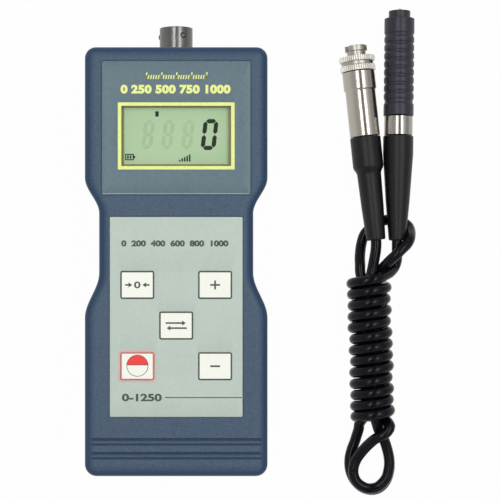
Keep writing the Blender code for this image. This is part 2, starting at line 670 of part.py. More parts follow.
def cells(metal, spring_metal):
    """Four cells nose to tail, with the end and bridge contacts that join them in a row."""
    flat_space = CONTACT_THICKNESS + 2 * GAP
    for i, x in enumerate(CELL_PLACES):
        way = 1 if i % 2 else -1
        radius = CELL_DIAMETER / 2
        body = CELL_LENGTH - NUB_HEIGHT
        section = [(0, 0), (radius, 0), (radius, body), (NUB_DIAMETER / 2, body)]
        section += [(NUB_DIAMETER / 2, CELL_LENGTH), (0, CELL_LENGTH)]
        y = BAY_HEAD - flat_space - CELL_LENGTH if way > 0 else BAY_FOOT + flat_space + CELL_LENGTH
        along_gauge(turned(f"cell_{i + 1}", section, 20, metal), x, y, CELL_AXIS, way)
    # Each plate has the end that it stands at and the first and last cell that it joins.
    plates = {
        "contact_foot_left": (-1, 0, 1),
        "contact_foot_right": (-1, 2, 3),
        "contact_head_bridge": (1, 1, 2),
        "contact_head_negative": (1, 0, 0),
        "contact_head_positive": (1, 3, 3),
    }
    for name, (end, first, last) in plates.items():
        y = (BAY_HEAD - GAP - CONTACT_THICKNESS, BAY_HEAD - GAP)
        if end < 0:
            y = (BAY_FOOT + GAP, BAY_FOOT + GAP + CONTACT_THICKNESS)
        x = (CELL_PLACES[first] - CONTACT_WIDTH / 2, CELL_PLACES[last] + CONTACT_WIDTH / 2)
        z = (CELL_AXIS - CONTACT_WIDTH / 2, CELL_AXIS + CONTACT_WIDTH / 2)
        plate = block(name, x, y, z, spring_metal)
        for i in {first, last}:
            nub_end = 1 if i % 2 else -1
            if nub_end == end:
                continue
            reach = CONTACT_SPACE - 2 * GAP
            rings = coil(SPRING_DIAMETER / 2, SPRING_WIRE, CONTACT_TURNS, 0, reach - SPRING_WIRE / 2)
            spring = lofted(f"{name}_spring_{i}", rings)
            face = y[0] if end > 0 else y[1]
            join(plate, along_gauge(spring, CELL_PLACES[i], face, CELL_AXIS, -end))


def case_screws(steel):
    """Four pan-head screws, sunk in their bores from the back."""
    for i, (x, y) in enumerate(SCREW_PLACES):
        top = SCREW_BORE_DEPTH - GAP
        low = top - SCREW_HEAD_HEIGHT
        head = SCREW_HEAD_DIAMETER / 2
        shank = SCREW_DIAMETER / 2
        tip = min(top + SCREW_LENGTH, PARTING + SCREW_LENGTH / 2)
        crown = low + SCREW_HEAD_HEIGHT / 3
        section = [(0, low), ((head + shank) / 2, low), (head, crown), (head, top), (shank, top)]
        section += [(shank, tip - shank), (0, tip)]
        screw = turned(f"case_screw_{i + 1}", section, 14, steel)
        screw.location = (x, y, 0)


def socket(steel, black):
    """The steel socket trapped in the head wall, with three lock pins, and its contact insert."""
    outer = SOCKET_DIAMETER / 2
    bore = SOCKET_BORE / 2
    flange = SOCKET_FLANGE / 2
    mouth = HALF_LENGTH + SOCKET_STAND
    tail = SOCKET_TAIL_END
    section = [(bore, tail), (outer, tail), (outer, SOCKET_FLANGE_FOOT), (flange, SOCKET_FLANGE_FOOT)]
    section += [(flange, SOCKET_FLANGE_HEAD), (outer, SOCKET_FLANGE_HEAD), (outer, mouth - GAP)]
    section += [(outer - GAP, mouth), (bore + GAP, mouth), (bore, mouth - GAP)]
    shell = turned("socket_shell", section, 28, steel)
    shell.location = (0, 0, PARTING)
    shell.rotation_euler = (math.radians(-90), 0, 0)
    for i, degrees in enumerate(LUG_ANGLES):
        low = bore - LUG_REACH
        high = outer + LUG_PROUD
        pin = LUG_DIAMETER / 2
        lug = turned(f"lug_{i}", [(0, low), (pin, low), (pin, high), (0, high)], 10)
        lug.location = (0, HALF_LENGTH + LUG_STAND, PARTING)
        lug.rotation_euler = (0, math.radians(degrees), 0)
        join(shell, lug)
    face = mouth - SOCKET_INSERT_DEPTH
    radius = bore - GAP
    section = [(0, tail), (radius, tail), (radius, face), (0, face)]
    insert = turned("socket_insert", section, 24, black)
    insert.location = (0, 0, PARTING)
    insert.rotation_euler = (math.radians(-90), 0, 0)
    for i in range(PIN_COUNT):
        angle = math.tau * (i + 0.5) / PIN_COUNT
        x = SOCKET_CONTACT_CIRCLE / 2 * math.cos(angle)
        z = PARTING + SOCKET_CONTACT_CIRCLE / 2 * math.sin(angle)
        low = tail + SOCKET_TAIL / 2
        radius = SOCKET_CONTACT_DIAMETER / 2
        section = [(0, low), (radius, low), (radius, mouth), (0, mouth)]
        hole = turned(f"socket_contact_{i}", section, 8)
        hole.location = (x, 0, z)
        hole.rotation_euler = (math.radians(-90), 0, 0)
        cut(insert, hole)


def probe(black, rubber, steel):
    """The probe, turned about one axis: boot, ring, ribbed grip, and a sprung sleeve with its tip."""
    boot_head = PROBE_BOOT_TAPER + PROBE_BOOT_STRAIGHT
    ring_foot = boot_head + GAP
    ring_head = ring_foot + PROBE_RING_LENGTH
    grip_foot = ring_head + GAP
    ribs_foot = grip_foot + GRIP_FOOT_BAND
    ridges = [ribs_foot + RIDGE_END + i * RIDGE_PITCH for i in range(RIDGE_COUNT)]
    ribs_head = ridges[-1] + RIDGE_END
    grip_head = ribs_head + GRIP_HEAD_BAND
    grip = GRIP_DIAMETER / 2
    lift = math.asin(max(PROBE_END_HEIGHT - grip - GAP / 6, 0) / grip_head)
    axis, direction = axis_empty("probe_axis", PROBE_END, PROBE_END_HEIGHT, math.radians(PROBE_TURN), lift)

    spigot = SPIGOT_DIAMETER / 2
    end = PROBE_BOOT_END_DIAMETER / 2
    full = PROBE_BOOT_DIAMETER / 2
    meeting = (ring_foot + ring_head) / 2
    boot_spigot = meeting - GAP / 2
    grip_spigot = meeting + GAP / 2
    section = [(0, 0), (end, 0), (full, PROBE_BOOT_TAPER), (full, boot_head), (spigot, boot_head)]
    turned("probe_boot", section + [(spigot, boot_spigot), (0, boot_spigot)], PROBE_STEPS, rubber, axis)
    ring = PROBE_RING_DIAMETER / 2
    bore = spigot + GAP
    section = [(bore, ring_foot), (ring, ring_foot), (ring, ring_head), (bore, ring_head)]
    turned("probe_ring", section, PROBE_STEPS, steel, axis)

    sleeve = SLEEVE_DIAMETER / 2
    collar = sleeve + SLEEVE_COLLAR
    sleeve_top = grip_head + SLEEVE_PROUD
    collar_top = grip_head - GRIP_LIP - GAP
    sleeve_foot = collar_top - SLEEVE_LENGTH
    spring_length = SLEEVE_TRAVEL + 2 * PROBE_SPRING_TURNS * PROBE_SPRING_WIRE
    chamber_foot = sleeve_foot - spring_length - 2 * GAP
    chamber = collar + GAP
    mouth = sleeve + GAP
    outside = [(0, grip_spigot), (spigot, grip_spigot), (spigot, grip_foot), (grip, grip_foot)]
    outside.append((grip, ribs_foot))
    low = ribs_foot
    for ridge in ridges + [ribs_head + RIDGE_WIDTH / 2]:
        high = ridge - RIDGE_WIDTH / 2
        for part in (1 / 4, 3 / 4):
            outside.append((grip - RIDGE_DEPTH, low + (high - low) * part))
        low = ridge + RIDGE_WIDTH / 2
        outside += [(grip, high), (grip, low)]
    outside += [(grip, grip_head - GAP), (grip - GAP, grip_head)]
    inside = [(mouth, grip_head), (mouth, grip_head - GRIP_LIP), (chamber, grip_head - GRIP_LIP)]
    inside += [(chamber, chamber_foot), (0, chamber_foot)]
    turned("probe_grip", outside + inside, PROBE_STEPS, black, axis)

    tip = TIP_DIAMETER / 2
    hole = tip + GAP
    under_face = sleeve_top - SLEEVE_FACE
    hollow = sleeve - SLEEVE_FACE
    collar_foot = collar_top - SLEEVE_COLLAR_LENGTH
    section = [(hole, sleeve_top), (hole, under_face), (hollow, under_face), (hollow, sleeve_foot)]
    section += [(sleeve, sleeve_foot), (sleeve, collar_foot), (collar, collar_foot), (collar, collar_top)]
    section += [(sleeve, collar_top), (sleeve, sleeve_top - GAP), (sleeve - GAP, sleeve_top)]
    slide = bpy.data.objects.new("sensor_slide", None)
    bpy.context.collection.objects.link(slide)
    slide.parent = axis
    turned("sensor_sleeve", section, PROBE_STEPS, black, slide)
    tip_top = sleeve_top + TIP_PROUD
    base = hollow - GAP
    section = [(0, tip_top - TIP_LENGTH), (base, tip_top - TIP_LENGTH), (base, under_face - GAP)]
    section += [(tip, under_face - GAP)]
    for degrees in (0, 30, 60, 90):
        angle = math.radians(degrees)
        section.append((tip * math.cos(angle), tip_top - TIP_PROUD * (1 - math.sin(angle))))
    turned("sensor_tip", section, 16, steel, slide)

    radius = (hollow + sleeve) / 2
    low = chamber_foot + GAP + PROBE_SPRING_WIRE / 2
    high = sleeve_foot - GAP - PROBE_SPRING_WIRE / 2
    rings = coil(radius, PROBE_SPRING_WIRE, PROBE_SPRING_TURNS, low, high)
    spring = lofted("sensor_spring", rings, steel)
    spring.parent = axis
    return axis, direction


def knurled(name, levels, teeth, material, axis):
    """A turned ring through (height, radius, depth) levels, with straight teeth where it has a depth."""
    mesh = bmesh.new()
    loops = []
    for height, radius, depth in levels:
        loop = []
        for i in range(2 * teeth):
            reach = radius - (depth if i % 2 else 0)
            angle = math.pi * i / teeth
            loop.append(mesh.verts.new((reach * math.cos(angle), reach * math.sin(angle), height)))
        loops.append(loop)
    for lower, upper in zip(loops, loops[1:] + loops[:1]):
        for i in range(2 * teeth):
            j = (i + 1) % (2 * teeth)
            mesh.faces.new((lower[i], lower[j], upper[j], upper[i]))
    return solid(name, mesh, material, axis, 20.0)


def plug(black, rubber, steel):
    """The plug, turned about one axis: boot, barrel, pin insert and coupling ring with a slotted nose."""
    straight_foot = PLUG_BOOT_TAPER + PLUG_BOOT_SHOULDER
    boot_head = straight_foot + PLUG_BOOT_STRAIGHT
    barrel_foot = boot_head + GAP
    barrel_step = barrel_foot + BARREL_LENGTH
    barrel_head = barrel_step + BARREL_HEAD_LENGTH
    ring_foot = barrel_head + GAP
    groove_foot = ring_foot + KNURL_FOOT_LENGTH
    groove_head = groove_foot + KNURL_GROOVE_LENGTH
    ring_head = groove_head + KNURL_HEAD_LENGTH
    nose_foot = ring_head + NECK_LENGTH
    nose_head = nose_foot + NOSE_LENGTH
    knurl = max(KNURL_FOOT_DIAMETER, KNURL_HEAD_DIAMETER) / 2
    lift = math.asin(max(PLUG_END_HEIGHT - knurl - GAP / 6, 0) / ring_head)
    axis, direction = axis_empty("plug_axis", PLUG_END, PLUG_END_HEIGHT, math.radians(PLUG_TURN), lift)

    section = [(0, 0), (PLUG_BOOT_END_DIAMETER / 2, 0), (PLUG_BOOT_NECK_DIAMETER / 2, PLUG_BOOT_TAPER)]
    section += [(PLUG_BOOT_DIAMETER / 2, straight_foot), (PLUG_BOOT_DIAMETER / 2, boot_head), (0, boot_head)]
    turned("plug_boot", section, PLUG_STEPS, rubber, axis)

    bore = NOSE_BORE / 2
    insert = bore - GAP
    spigot = BARREL_SPIGOT_DIAMETER / 2
    barrel = BARREL_DIAMETER / 2
    head = BARREL_HEAD_DIAMETER / 2
    spigot_head = barrel_head + BARREL_SPIGOT_LENGTH
    section = [(0, barrel_foot), (barrel, barrel_foot), (barrel, barrel_step)]
    section += [(head, barrel_step + head - barrel), (head, barrel_head), (spigot, barrel_head)]
    section += [(spigot, spigot_head), (bore, spigot_head), (bore, barrel_step), (0, barrel_step)]
    turned("plug_barrel", section, PLUG_STEPS, steel, axis)
    face = nose_head - PLUG_INSERT_SET_BACK
    insert_foot = barrel_step + GAP
    section = [(0, insert_foot), (insert, insert_foot), (insert, face), (0, face)]
    pins = turned("plug_insert", section, PLUG_STEPS, black, axis)
    for i in range(PIN_COUNT):
        angle = math.tau * (i + 0.5) / PIN_COUNT
        radius = PIN_DIAMETER / 2
        low = face - FUSE
        high = face + PIN_LENGTH
        pin = turned(f"plug_pin_{i}", [(0, low), (radius, low), (radius, high), (0, high)], 8, None, axis)
        pin.location = (PIN_CIRCLE / 2 * math.cos(angle), PIN_CIRCLE / 2 * math.sin(angle), 0)
        join(pins, pin)

    turn = bpy.data.objects.new("coupling_turn", None)
    bpy.context.collection.objects.link(turn)
    turn.parent = axis
    neck = NECK_DIAMETER / 2
    nose = NOSE_DIAMETER / 2
    groove = KNURL_GROOVE_DIAMETER / 2
    rear_bore = spigot + GAP
    rear_bore_head = spigot_head + GAP
    foot_knurl = KNURL_FOOT_DIAMETER / 2
    head_knurl = KNURL_HEAD_DIAMETER / 2
    levels = [(ring_foot, rear_bore, 0)]
    levels += [(ring_foot, foot_knurl, KNURL_DEPTH), (groove_foot, foot_knurl, KNURL_DEPTH)]
    levels += [(groove_foot, groove, 0), (groove_head, groove, 0)]
    levels += [(groove_head, head_knurl, KNURL_DEPTH), (ring_head, head_knurl, KNURL_DEPTH)]
    levels += [(ring_head, neck, 0), (nose_foot, neck, 0), (nose_foot, nose, 0), (nose_head, nose, 0)]
    levels += [(nose_head, bore, 0), (rear_bore_head, bore, 0), (rear_bore_head, rear_bore, 0)]
    ring = knurled("coupling_ring", levels, KNURL_TEETH, steel, turn)
    for i in range(NOSE_SLOTS):
        reach = (nose - NOSE_SLOT_DEPTH, nose + NOSE_SLOT_DEPTH)
        width = (-NOSE_SLOT / 2, NOSE_SLOT / 2)
        slot = block(f"nose_slot_{i}", reach, width, (nose_foot - FUSE, nose_head + FUSE))
        slot.parent = turn
        slot.rotation_euler = (0, 0, math.tau * (i / NOSE_SLOTS + 1 / 12))
        cut(ring, slot)
    return axis, direction


def smooth_route(points, count):
    """Points at even steps along a smooth curve through the route's own points."""
    places = [Vector(point) for point in points]
    places = [2 * places[0] - places[1]] + places + [2 * places[-1] - places[-2]]
    fine = []
    for before, start, end, after in zip(places, places[1:], places[2:], places[3:]):
        for step in range(24):
            t = step / 24
            bend = 2 * before - 5 * start + 4 * end - after
            twist = 3 * start - before - 3 * end + after
            fine.append(start + 0.5 * (t * (end - before) + t * t * bend + t**3 * twist))
    fine.append(places[-2])
    lengths = [0.0]
    for start, end in zip(fine, fine[1:]):
        lengths.append(lengths[-1] + (end - start).length)
    route = []
    for i in range(count):
        want = lengths[-1] * i / (count - 1)
        k = max(1, next(n for n, length in enumerate(lengths) if length >= want - 1e-9))
        part = (want - lengths[k - 1]) / (lengths[k] - lengths[k - 1])
        route.append(fine[k - 1].lerp(fine[k], part))
    return route


def cord_tube(name, points, count, material):
    """A plain round tube along a route."""
    curve = bpy.data.curves.new(name, "CURVE")
    curve.dimensions = "3D"
    curve.bevel_depth = CORD_DIAMETER / 2
    curve.bevel_resolution = 2
    curve.use_fill_caps = True
    route = smooth_route(points, count)
    spline = curve.splines.new("POLY")
    spline.points.add(len(route) - 1)
    for place, point in zip(spline.points, route):
        place.co = (*point, 1.0)
    curve.materials.append(material)
    made = bpy.data.objects.new(name, curve)
    bpy.context.collection.objects.link(made)


def lead(rubber, probe_direction, plug_direction):
    """The lead: two ends, a loop behind both boots, two loops below, and the winding that holds them."""
    plug_end = Vector((*PLUG_END, PLUG_END_HEIGHT))
    probe_end = Vector((*PROBE_END, PROBE_END_HEIGHT))
    route = [plug_end - plug_direction * GAP, plug_end - plug_direction * CORD_DIAMETER]
    route += [(0.0773, 0.0010, 0.0093), (0.0768, -0.0018, 0.0101), (0.0763, -0.0046, 0.0107)]
    cord_tube("cord_plug_lead", route, 6, rubber)

    route = [probe_end - probe_direction * GAP, probe_end - probe_direction * CORD_DIAMETER]
    route += [(0.0871, 0.0012, 0.0072), (0.0870, -0.0018, 0.0062), (0.0861, -0.0036, 0.0063)]
    route += [(0.0850, -0.0050, 0.0069)]
    cord_tube("cord_probe_lead", route, 7, rubber)

    route = [(0.0723, -0.0046, 0.0066), (0.0723, -0.0015, 0.0059), (0.0724, 0.0018, 0.0044)]
    route += [(0.0732, 0.0067, 0.0026), (0.0748, 0.0110, 0.0021), (0.0787, 0.0145, 0.0021)]
    route += [(0.0832, 0.0163, 0.0021), (0.0878, 0.0161, 0.0021), (0.0920, 0.0140, 0.0028)]
    route += [(0.0930, 0.0105, 0.0060), (0.0910, 0.0067, 0.0106), (0.0892, 0.0050, 0.0124)]
    route += [(0.0867, 0.0035, 0.0130), (0.0836, 0.0007, 0.0120), (0.0814, -0.0018, 0.0100)]
    route += [(0.0800, -0.0036, 0.0086), (0.0796, -0.0046, 0.0081)]
    cord_tube("cord_top_loop", route, 20, rubber)

    route = [(0.0724, -0.0638, 0.0040), (0.0721, -0.0662, 0.0033), (0.0714, -0.0688, 0.0026)]
    route += [(0.0706, -0.0716, 0.0022), (0.0696, -0.0742, 0.0021), (0.0688, -0.0772, 0.0021)]
    route += [(0.0686, -0.0795, 0.0021), (0.0688, -0.0822, 0.0021), (0.0696, -0.0848, 0.0021)]
    route += [(0.0712, -0.0874, 0.0021), (0.0738, -0.0896, 0.0021), (0.0772, -0.0905, 0.0021)]
    route += [(0.0805, -0.0896, 0.0021), (0.0830, -0.0868, 0.0021), (0.0842, -0.0831, 0.0021)]
    route += [(0.0844, -0.0795, 0.0021), (0.0840, -0.0763, 0.0021), (0.0833, -0.0737, 0.0021)]
    route += [(0.0824, -0.0710, 0.0022), (0.0812, -0.0687, 0.0025), (0.0800, -0.0662, 0.0033)]
    route += [(0.0794, -0.0638, 0.0042)]
    cord_tube("cord_outer_loop", route, 20, rubber)

    route = [(0.0785, -0.0638, 0.0093), (0.0792, -0.0659, 0.0087), (0.0805, -0.0682, 0.0077)]
    route += [(0.0817, -0.0704, 0.0070), (0.0826, -0.0731, 0.0067), (0.0833, -0.0757, 0.0066)]
    route += [(0.0837, -0.0788, 0.0066), (0.0835, -0.0815, 0.0066), (0.0824, -0.0853, 0.0066)]
    route += [(0.0792, -0.0886, 0.0066), (0.0757, -0.0893, 0.0066), (0.0734, -0.0886, 0.0066)]
    route += [(0.0710, -0.0868, 0.0066), (0.0697, -0.0841, 0.0066), (0.0696, -0.0810, 0.0067)]
    route += [(0.0707, -0.0777, 0.0070), (0.0728, -0.0745, 0.0080), (0.0752, -0.0715, 0.0097)]
    route += [(0.0776, -0.0690, 0.0117), (0.0805, -0.0675, 0.0127), (0.0825, -0.0657, 0.0124)]
    route += [(0.0831, -0.0638, 0.0117)]
    cord_tube("cord_inner_loop", route, 22, rubber)

    head = Vector(WINDING_HEAD)
    along = Vector(WINDING_FOOT) - head
    section = [(0, 0), (WINDING_RADIUS, 0), (WINDING_RADIUS, along.length), (0, along.length)]
    winding = turned("cord_winding", section, 24, rubber)
    winding.location = head
    winding.rotation_mode = "QUATERNION"
    winding.rotation_quaternion = along.to_track_quat("Z", "Y")


def main():
    for leftover in list(bpy.data.objects):
        bpy.data.objects.remove(leftover)
    blue = finish("blue_case", (0.082, 0.127, 0.183), 0.45)
    film = finish("display_print", (0.145, 0.205, 0.230), 0.40)
    pale = finish("keypad_print", (0.500, 0.565, 0.520), 0.50)
    white = finish("key_white", (0.870, 0.890, 0.780), 0.45)
    clear = finish("clear_window", (0.900, 0.920, 0.900), 0.05, 0.0, 0.2)
    glass = finish("display_glass", (0.434, 0.591, 0.371), 0.25)
    steel = finish("nickel_steel", (0.480, 0.470, 0.450), 0.28, 1.0)
    black = finish("black_plastic", (0.045, 0.045, 0.052), 0.45)
    rubber = finish("black_rubber", (0.012, 0.012, 0.015), 0.30)
    green = finish("board_green", (0.020, 0.130, 0.050), 0.40)
    cell = finish("cell_sleeve", (0.550, 0.560, 0.580), 0.35, 0.6)
    front_case(blue)
    rear_case(blue)
    battery_cover(blue)
    display(film, clear, glass, black)
    keypad(pale, white, black)
    board(green, black)
    cells(cell, steel)
    case_screws(steel)
    socket(steel, black)
    probe_direction = probe(black, rubber, steel)[1]
    plug_direction = plug(black, rubber, steel)[1]
    lead(rubber, probe_direction, plug_direction)


main()
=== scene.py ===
"""Coating thickness gauge with its probe on a wound lead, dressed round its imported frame.

Shapes are drawn in millimetres and become metres when a piece is placed. +X is the gauge's right-hand side,
+Y runs from its foot to its socket and +Z comes out of its display.
"""

import json
import math

import bmesh
import bpy
from mathutils import Matrix, Vector

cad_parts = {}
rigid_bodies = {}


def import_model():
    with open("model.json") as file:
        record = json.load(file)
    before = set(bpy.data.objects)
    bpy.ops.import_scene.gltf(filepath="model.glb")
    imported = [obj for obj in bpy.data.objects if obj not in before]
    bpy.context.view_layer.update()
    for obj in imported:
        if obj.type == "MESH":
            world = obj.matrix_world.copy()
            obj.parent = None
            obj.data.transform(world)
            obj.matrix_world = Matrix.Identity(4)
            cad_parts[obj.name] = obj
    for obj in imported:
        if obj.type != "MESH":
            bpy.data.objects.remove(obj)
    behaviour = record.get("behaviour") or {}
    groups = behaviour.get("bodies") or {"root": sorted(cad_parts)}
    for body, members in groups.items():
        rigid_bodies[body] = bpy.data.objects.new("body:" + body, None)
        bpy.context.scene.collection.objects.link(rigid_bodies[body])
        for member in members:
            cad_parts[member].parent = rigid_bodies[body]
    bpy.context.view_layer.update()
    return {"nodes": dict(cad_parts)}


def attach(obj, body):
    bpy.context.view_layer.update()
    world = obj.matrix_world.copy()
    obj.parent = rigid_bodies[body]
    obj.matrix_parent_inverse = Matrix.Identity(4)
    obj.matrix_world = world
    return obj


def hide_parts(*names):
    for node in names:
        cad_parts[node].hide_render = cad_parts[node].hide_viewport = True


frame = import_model()
METRES = Matrix.Scale(0.001, 4)

# Heights above the gauge's back, in millimetres
REAR_SEAM, FRONT_SEAM, FACE, OVER_FACE = 15.85, 16.15, 32.0, 33.0
RECESS_FLOOR, INNER_FACE, POCKET_FLOOR, LENS_FLOOR = 31.2, 29.2, 30.2, 30.3
LABEL_LOW, LABEL_TOP, KEY_LOW, KEY_TOP = 31.5, 31.9, 30.9, 31.95
DISPLAY_LOW, DISPLAY_TOP = 26.9, 28.9
SOCKET_AXIS, CELL_AXIS, BAY_CEILING, BAY_TOP = 16.0, 8.15, 13.7, 15.2

# Sizes and places on the gauge, in millimetres
HALF_LENGTH, HALF_WIDTH, HALF_WAIST, WALL = 81.0, 34.5, 29.1, 2.2
EDGE_WIDTH, EDGE_DEPTH = 5.0, 4.0
KEYS = {
    "zero": (-14.6, -8.7),
    "plus": (14.6, -8.7),
    "unit": (0.0, -23.95),
    "power": (-14.6, -39.2),
    "minus": (14.6, -39.2),
}
SCREW_COLUMN, SCREW_ROWS = 29.2, (74.0, -25.0)
BAY = (-22.2, 22.2, -78.3, -28.3)
COVER_HALF, TONGUE_HALF = 22.8, 24.1

# Rounded rectangles of the face: (x, y, width, height, corner), in millimetres
WINDOW = (0.0, 47.25, 41.0, 22.3, 0.25)
LENS_SEAT = (0.0, 47.25, 44.6, 25.9, 0.4)
DISPLAY_SEAT = (0.0, 47.25, 42.5, 23.8, 0.3)
DISPLAY_PANE = (0.0, 47.25, 47.0, 28.3, 0.4)
# An olive band of painted shade on the display lies between these two outlines, widest at its left side.
SHADE_BAND_OUTSIDE = (0.0, 47.25, 41.0, 22.3, 0.3)
SHADE_BAND_OPENING = (0.05, 47.39, 39.3, 21.2, 0.2)
DISPLAY_LABEL = (0.0, 50.3, 55.8, 50.0, 0.4)
KEYPAD_LABEL = (0.0, -20.7, 49.8, 75.0, 0.4)
KEY_SHAPE = (12.6, 10.4, 0.7)


def linear(*levels):
    """Linear colour from display levels of 0 to 255."""
    return tuple(v / 3294.6 if v <= 10 else ((v / 255 + 0.055) / 1.055) ** 2.4 for v in levels)


# Nodes, shader sums and finishes
def feed(tree, socket, value):
    """Sets an input to a value, or links it to another node's output."""
    value = value.socket if isinstance(value, Signal) else value
    if isinstance(value, bpy.types.NodeSocket):
        tree.links.new(value, socket)
    elif isinstance(value, tuple) and socket.type == "RGBA":
        socket.default_value = (*value, 1.0)
    else:
        socket.default_value = value


def add_node(tree, kind, values, **settings):
    """A new node with its settings made and its inputs fed."""
    made = tree.nodes.new(kind)
    for key, value in settings.items():
        setattr(made, key, value)
    for key, value in values.items():
        feed(tree, made.inputs[key], value)
    return made


class Signal:
    """One number or colour in a material; sums on it add Math nodes."""

    def __init__(self, finish, socket):
        self.finish, self.socket = finish, socket

    def sum(self, operation, *values):
        return self.finish.node("ShaderNodeMath", dict(enumerate(values)), operation=operation)

    def __add__(self, other):
        return self.sum("ADD", self, other)

    def __mul__(self, other):
        return self.sum("MULTIPLY", self, other)

    def over(self, low, high):
        """0 below low, 1 above high and eased between them."""
        span = {"Value": self, "From Min": low, "From Max": high}
        return self.finish.node("ShaderNodeMapRange", span, interpolation_type="SMOOTHSTEP")


class Finish:
    """A material with one Principled shader, fed by the patterns drawn on it."""

    def __init__(self, name, **constants):
        self.material = bpy.data.materials.new(name)
        self.material.use_nodes = True
        self.tree = self.material.node_tree
        self.shader = self.tree.nodes["Principled BSDF"]
        for key, value in constants.items():
            self.shader.inputs[key.replace("_", " ").title().replace("Ior", "IOR")].default_value = value
        self.places = self.node("ShaderNodeTexCoord", {}, "Object")

    def node(self, kind, values, output=0, **settings):
        return Signal(self, add_node(self.tree, kind, values, **settings).outputs[output])

    def grain(self, scale, detail=2.0, places=None):
        """Cloudy noise from 0 to 1, with scale features to a metre."""
        values = {"Vector": places or self.places, "Scale": scale, "Detail": detail}
        return self.node("ShaderNodeTexNoise", values)

    def stretched(self, scale, places):
        """Coordinates, stretched by three scales."""
        return self.node("ShaderNodeMapping", {"Vector": places, "Scale": scale})

    def blend(self, first, second, part):
        return self.node("ShaderNodeMix", {0: part, 6: first, 7: second}, 2, data_type="RGBA")

    def set(self, colour, roughness, height=None, depth=0.0, strength=1.0, alpha=None):
        """Feeds the shader: colour, roughness, alpha, and a relief of a depth in millimetres."""
        values = {"Base Color": colour, "Roughness": roughness, "Alpha": alpha}
        if height is not None:
            relief = {"Height": height, "Distance": depth * 0.001, "Strength": strength}
            values["Normal"] = self.node("ShaderNodeBump", relief)
        for key, value in values.items():
            if value is not None:
                feed(self.tree, self.shader.inputs[key], value)
        return self.material


def moulded(name, dark, light, size, roughness, depth, **constants):
    """Moulded plastic or rubber: two near tones in a grain of a size in millimetres, with a fine relief."""
    finish = Finish(name, **constants)
    fine = finish.grain(1000 / size, 3.0)
    broad = finish.grain(160 / size, 1.0)
    mottle = (fine * 0.7 + broad * 0.3).over(0.36, 0.64)
    colour = finish.blend(linear(*dark), linear(*light), mottle)
    return finish.set(colour, fine * 0.14 + broad * 0.10 + (roughness - 0.12), fine, depth)


def case_plastic():
    """The housing: one blue plastic in a lit and a shaded tone. Its face is painted lighter and greyer, as
    lit from above, with darker and greener specks; below the face's height, round its edges and in the foot
    grooves, it turns to a darker blue of painted shade.
    """
    finish = Finish("case_plastic", specular_ior_level=0.34)
    fine = finish.grain(2300.0, 3.0)
    specks = finish.grain(1500.0, 1.0).over(0.56, 0.68)
    patches = finish.grain(420.0, 2.0).over(0.38, 0.62)
    # Lit tone of the face: painted lighter and greyer, as lit from above; its patches and specks are the
    # plastic's own.
    painted_lit_face = finish.blend(linear(58, 75, 99), linear(74, 94, 119), fine.over(0.36, 0.64))
    painted_lit_face = finish.blend(painted_lit_face, linear(64, 90, 103), patches * 0.35)
    painted_lit_face = finish.blend(painted_lit_face, linear(72, 106, 110), specks * 0.40)
    # Painted shade: a darker blue for the rounded edges and the floors of the foot grooves.
    painted_edge_shade = finish.blend(linear(24, 51, 83), linear(35, 65, 99), fine.over(0.36, 0.64))
    height = finish.node("ShaderNodeSeparateXYZ", {0: finish.places}, 2)
    # Painted shade below 30.6 mm, eased into the lit face tone up to the face at 32 mm.
    body = finish.blend(painted_edge_shade, painted_lit_face, height.over(0.0306, 0.03199))
    return finish.set(body, fine * 0.18 + 0.42, fine + specks * 0.5, 0.035, 0.8)


def printed(name, colour, roughness=0.42, size=1.1, spread=0.05, **constants):
    """Screen-printed ink or film, with the slight unevenness of its printing."""
    dark = tuple(v * (1 - spread) for v in colour)
    light = tuple(min(255, v * (1 + spread)) for v in colour)
    return moulded(name, dark, light, size, roughness, 0.006, **constants)


def turned_metal(name, dark, light, roughness, stretch=(0.06, 9.0, 1.0)):
    """Plated metal with the fine lines of its turning, which run round each piece by its own UV map."""
    finish = Finish(name, metallic=1.0)
    unrolled = finish.node("ShaderNodeUVMap", {}, uv_map="turn")
    groove = finish.grain(60.0, 3.0, finish.stretched(stretch, unrolled))
    cloud = finish.grain(60.0, 1.0)
    colour = finish.blend(linear(*dark), linear(*light), (groove * 0.8 + cloud * 0.2).over(0.32, 0.68))
    return finish.set(colour, groove * 0.10 + cloud * 0.06 + (roughness - 0.08), groove, 0.006, 0.35)


def plain_metal(name, dark, light, roughness):
    return moulded(name, dark, light, 0.9, roughness, 0.006, metallic=1.0)


def window_lens():
    """The clear window: nearly invisible but for its gloss and a trace of haze."""
    finish = Finish("window_lens")
    haze = finish.grain(260.0, 2.0)
    colour = finish.blend(linear(150, 166, 150), linear(180, 190, 178), haze)
    return finish.set(colour, haze * 0.06 + 0.04, haze, 0.003, alpha=haze * 0.02 + 0.01)


def display_glass():
    """The reflective green of the liquid crystal display, with its fine back grain."""
    finish = Finish("display_glass", specular_ior_level=0.25)
    fine = finish.grain(2600.0, 2.0)
    cloud = finish.grain(46.0, 1.0).over(0.3, 0.7)
    colour = finish.blend(linear(182, 213, 166), linear(188, 215, 174), cloud)
    colour = finish.blend(colour, linear(176, 205, 160), fine.over(0.5, 0.8) * 0.3)
    return finish.set(colour, fine * 0.1 + 0.30, fine, 0.004)


def cord_jacket():
    """Glossy black jacket, faintly wavy from its winding and dusty here and there."""
    finish = Finish("cord_jacket", specular_ior_level=0.15)
    wave = finish.grain(300.0, 2.0)
    dust = finish.grain(2400.0, 2.0).over(0.60, 0.75)
    colour = finish.blend(linear(8, 8, 14), linear(14, 14, 23), wave)
    colour = finish.blend(colour, linear(40, 40, 46), dust * 0.25)
    return finish.set(colour, wave * 0.14 + dust * 0.10 + 0.14, wave, 0.05)


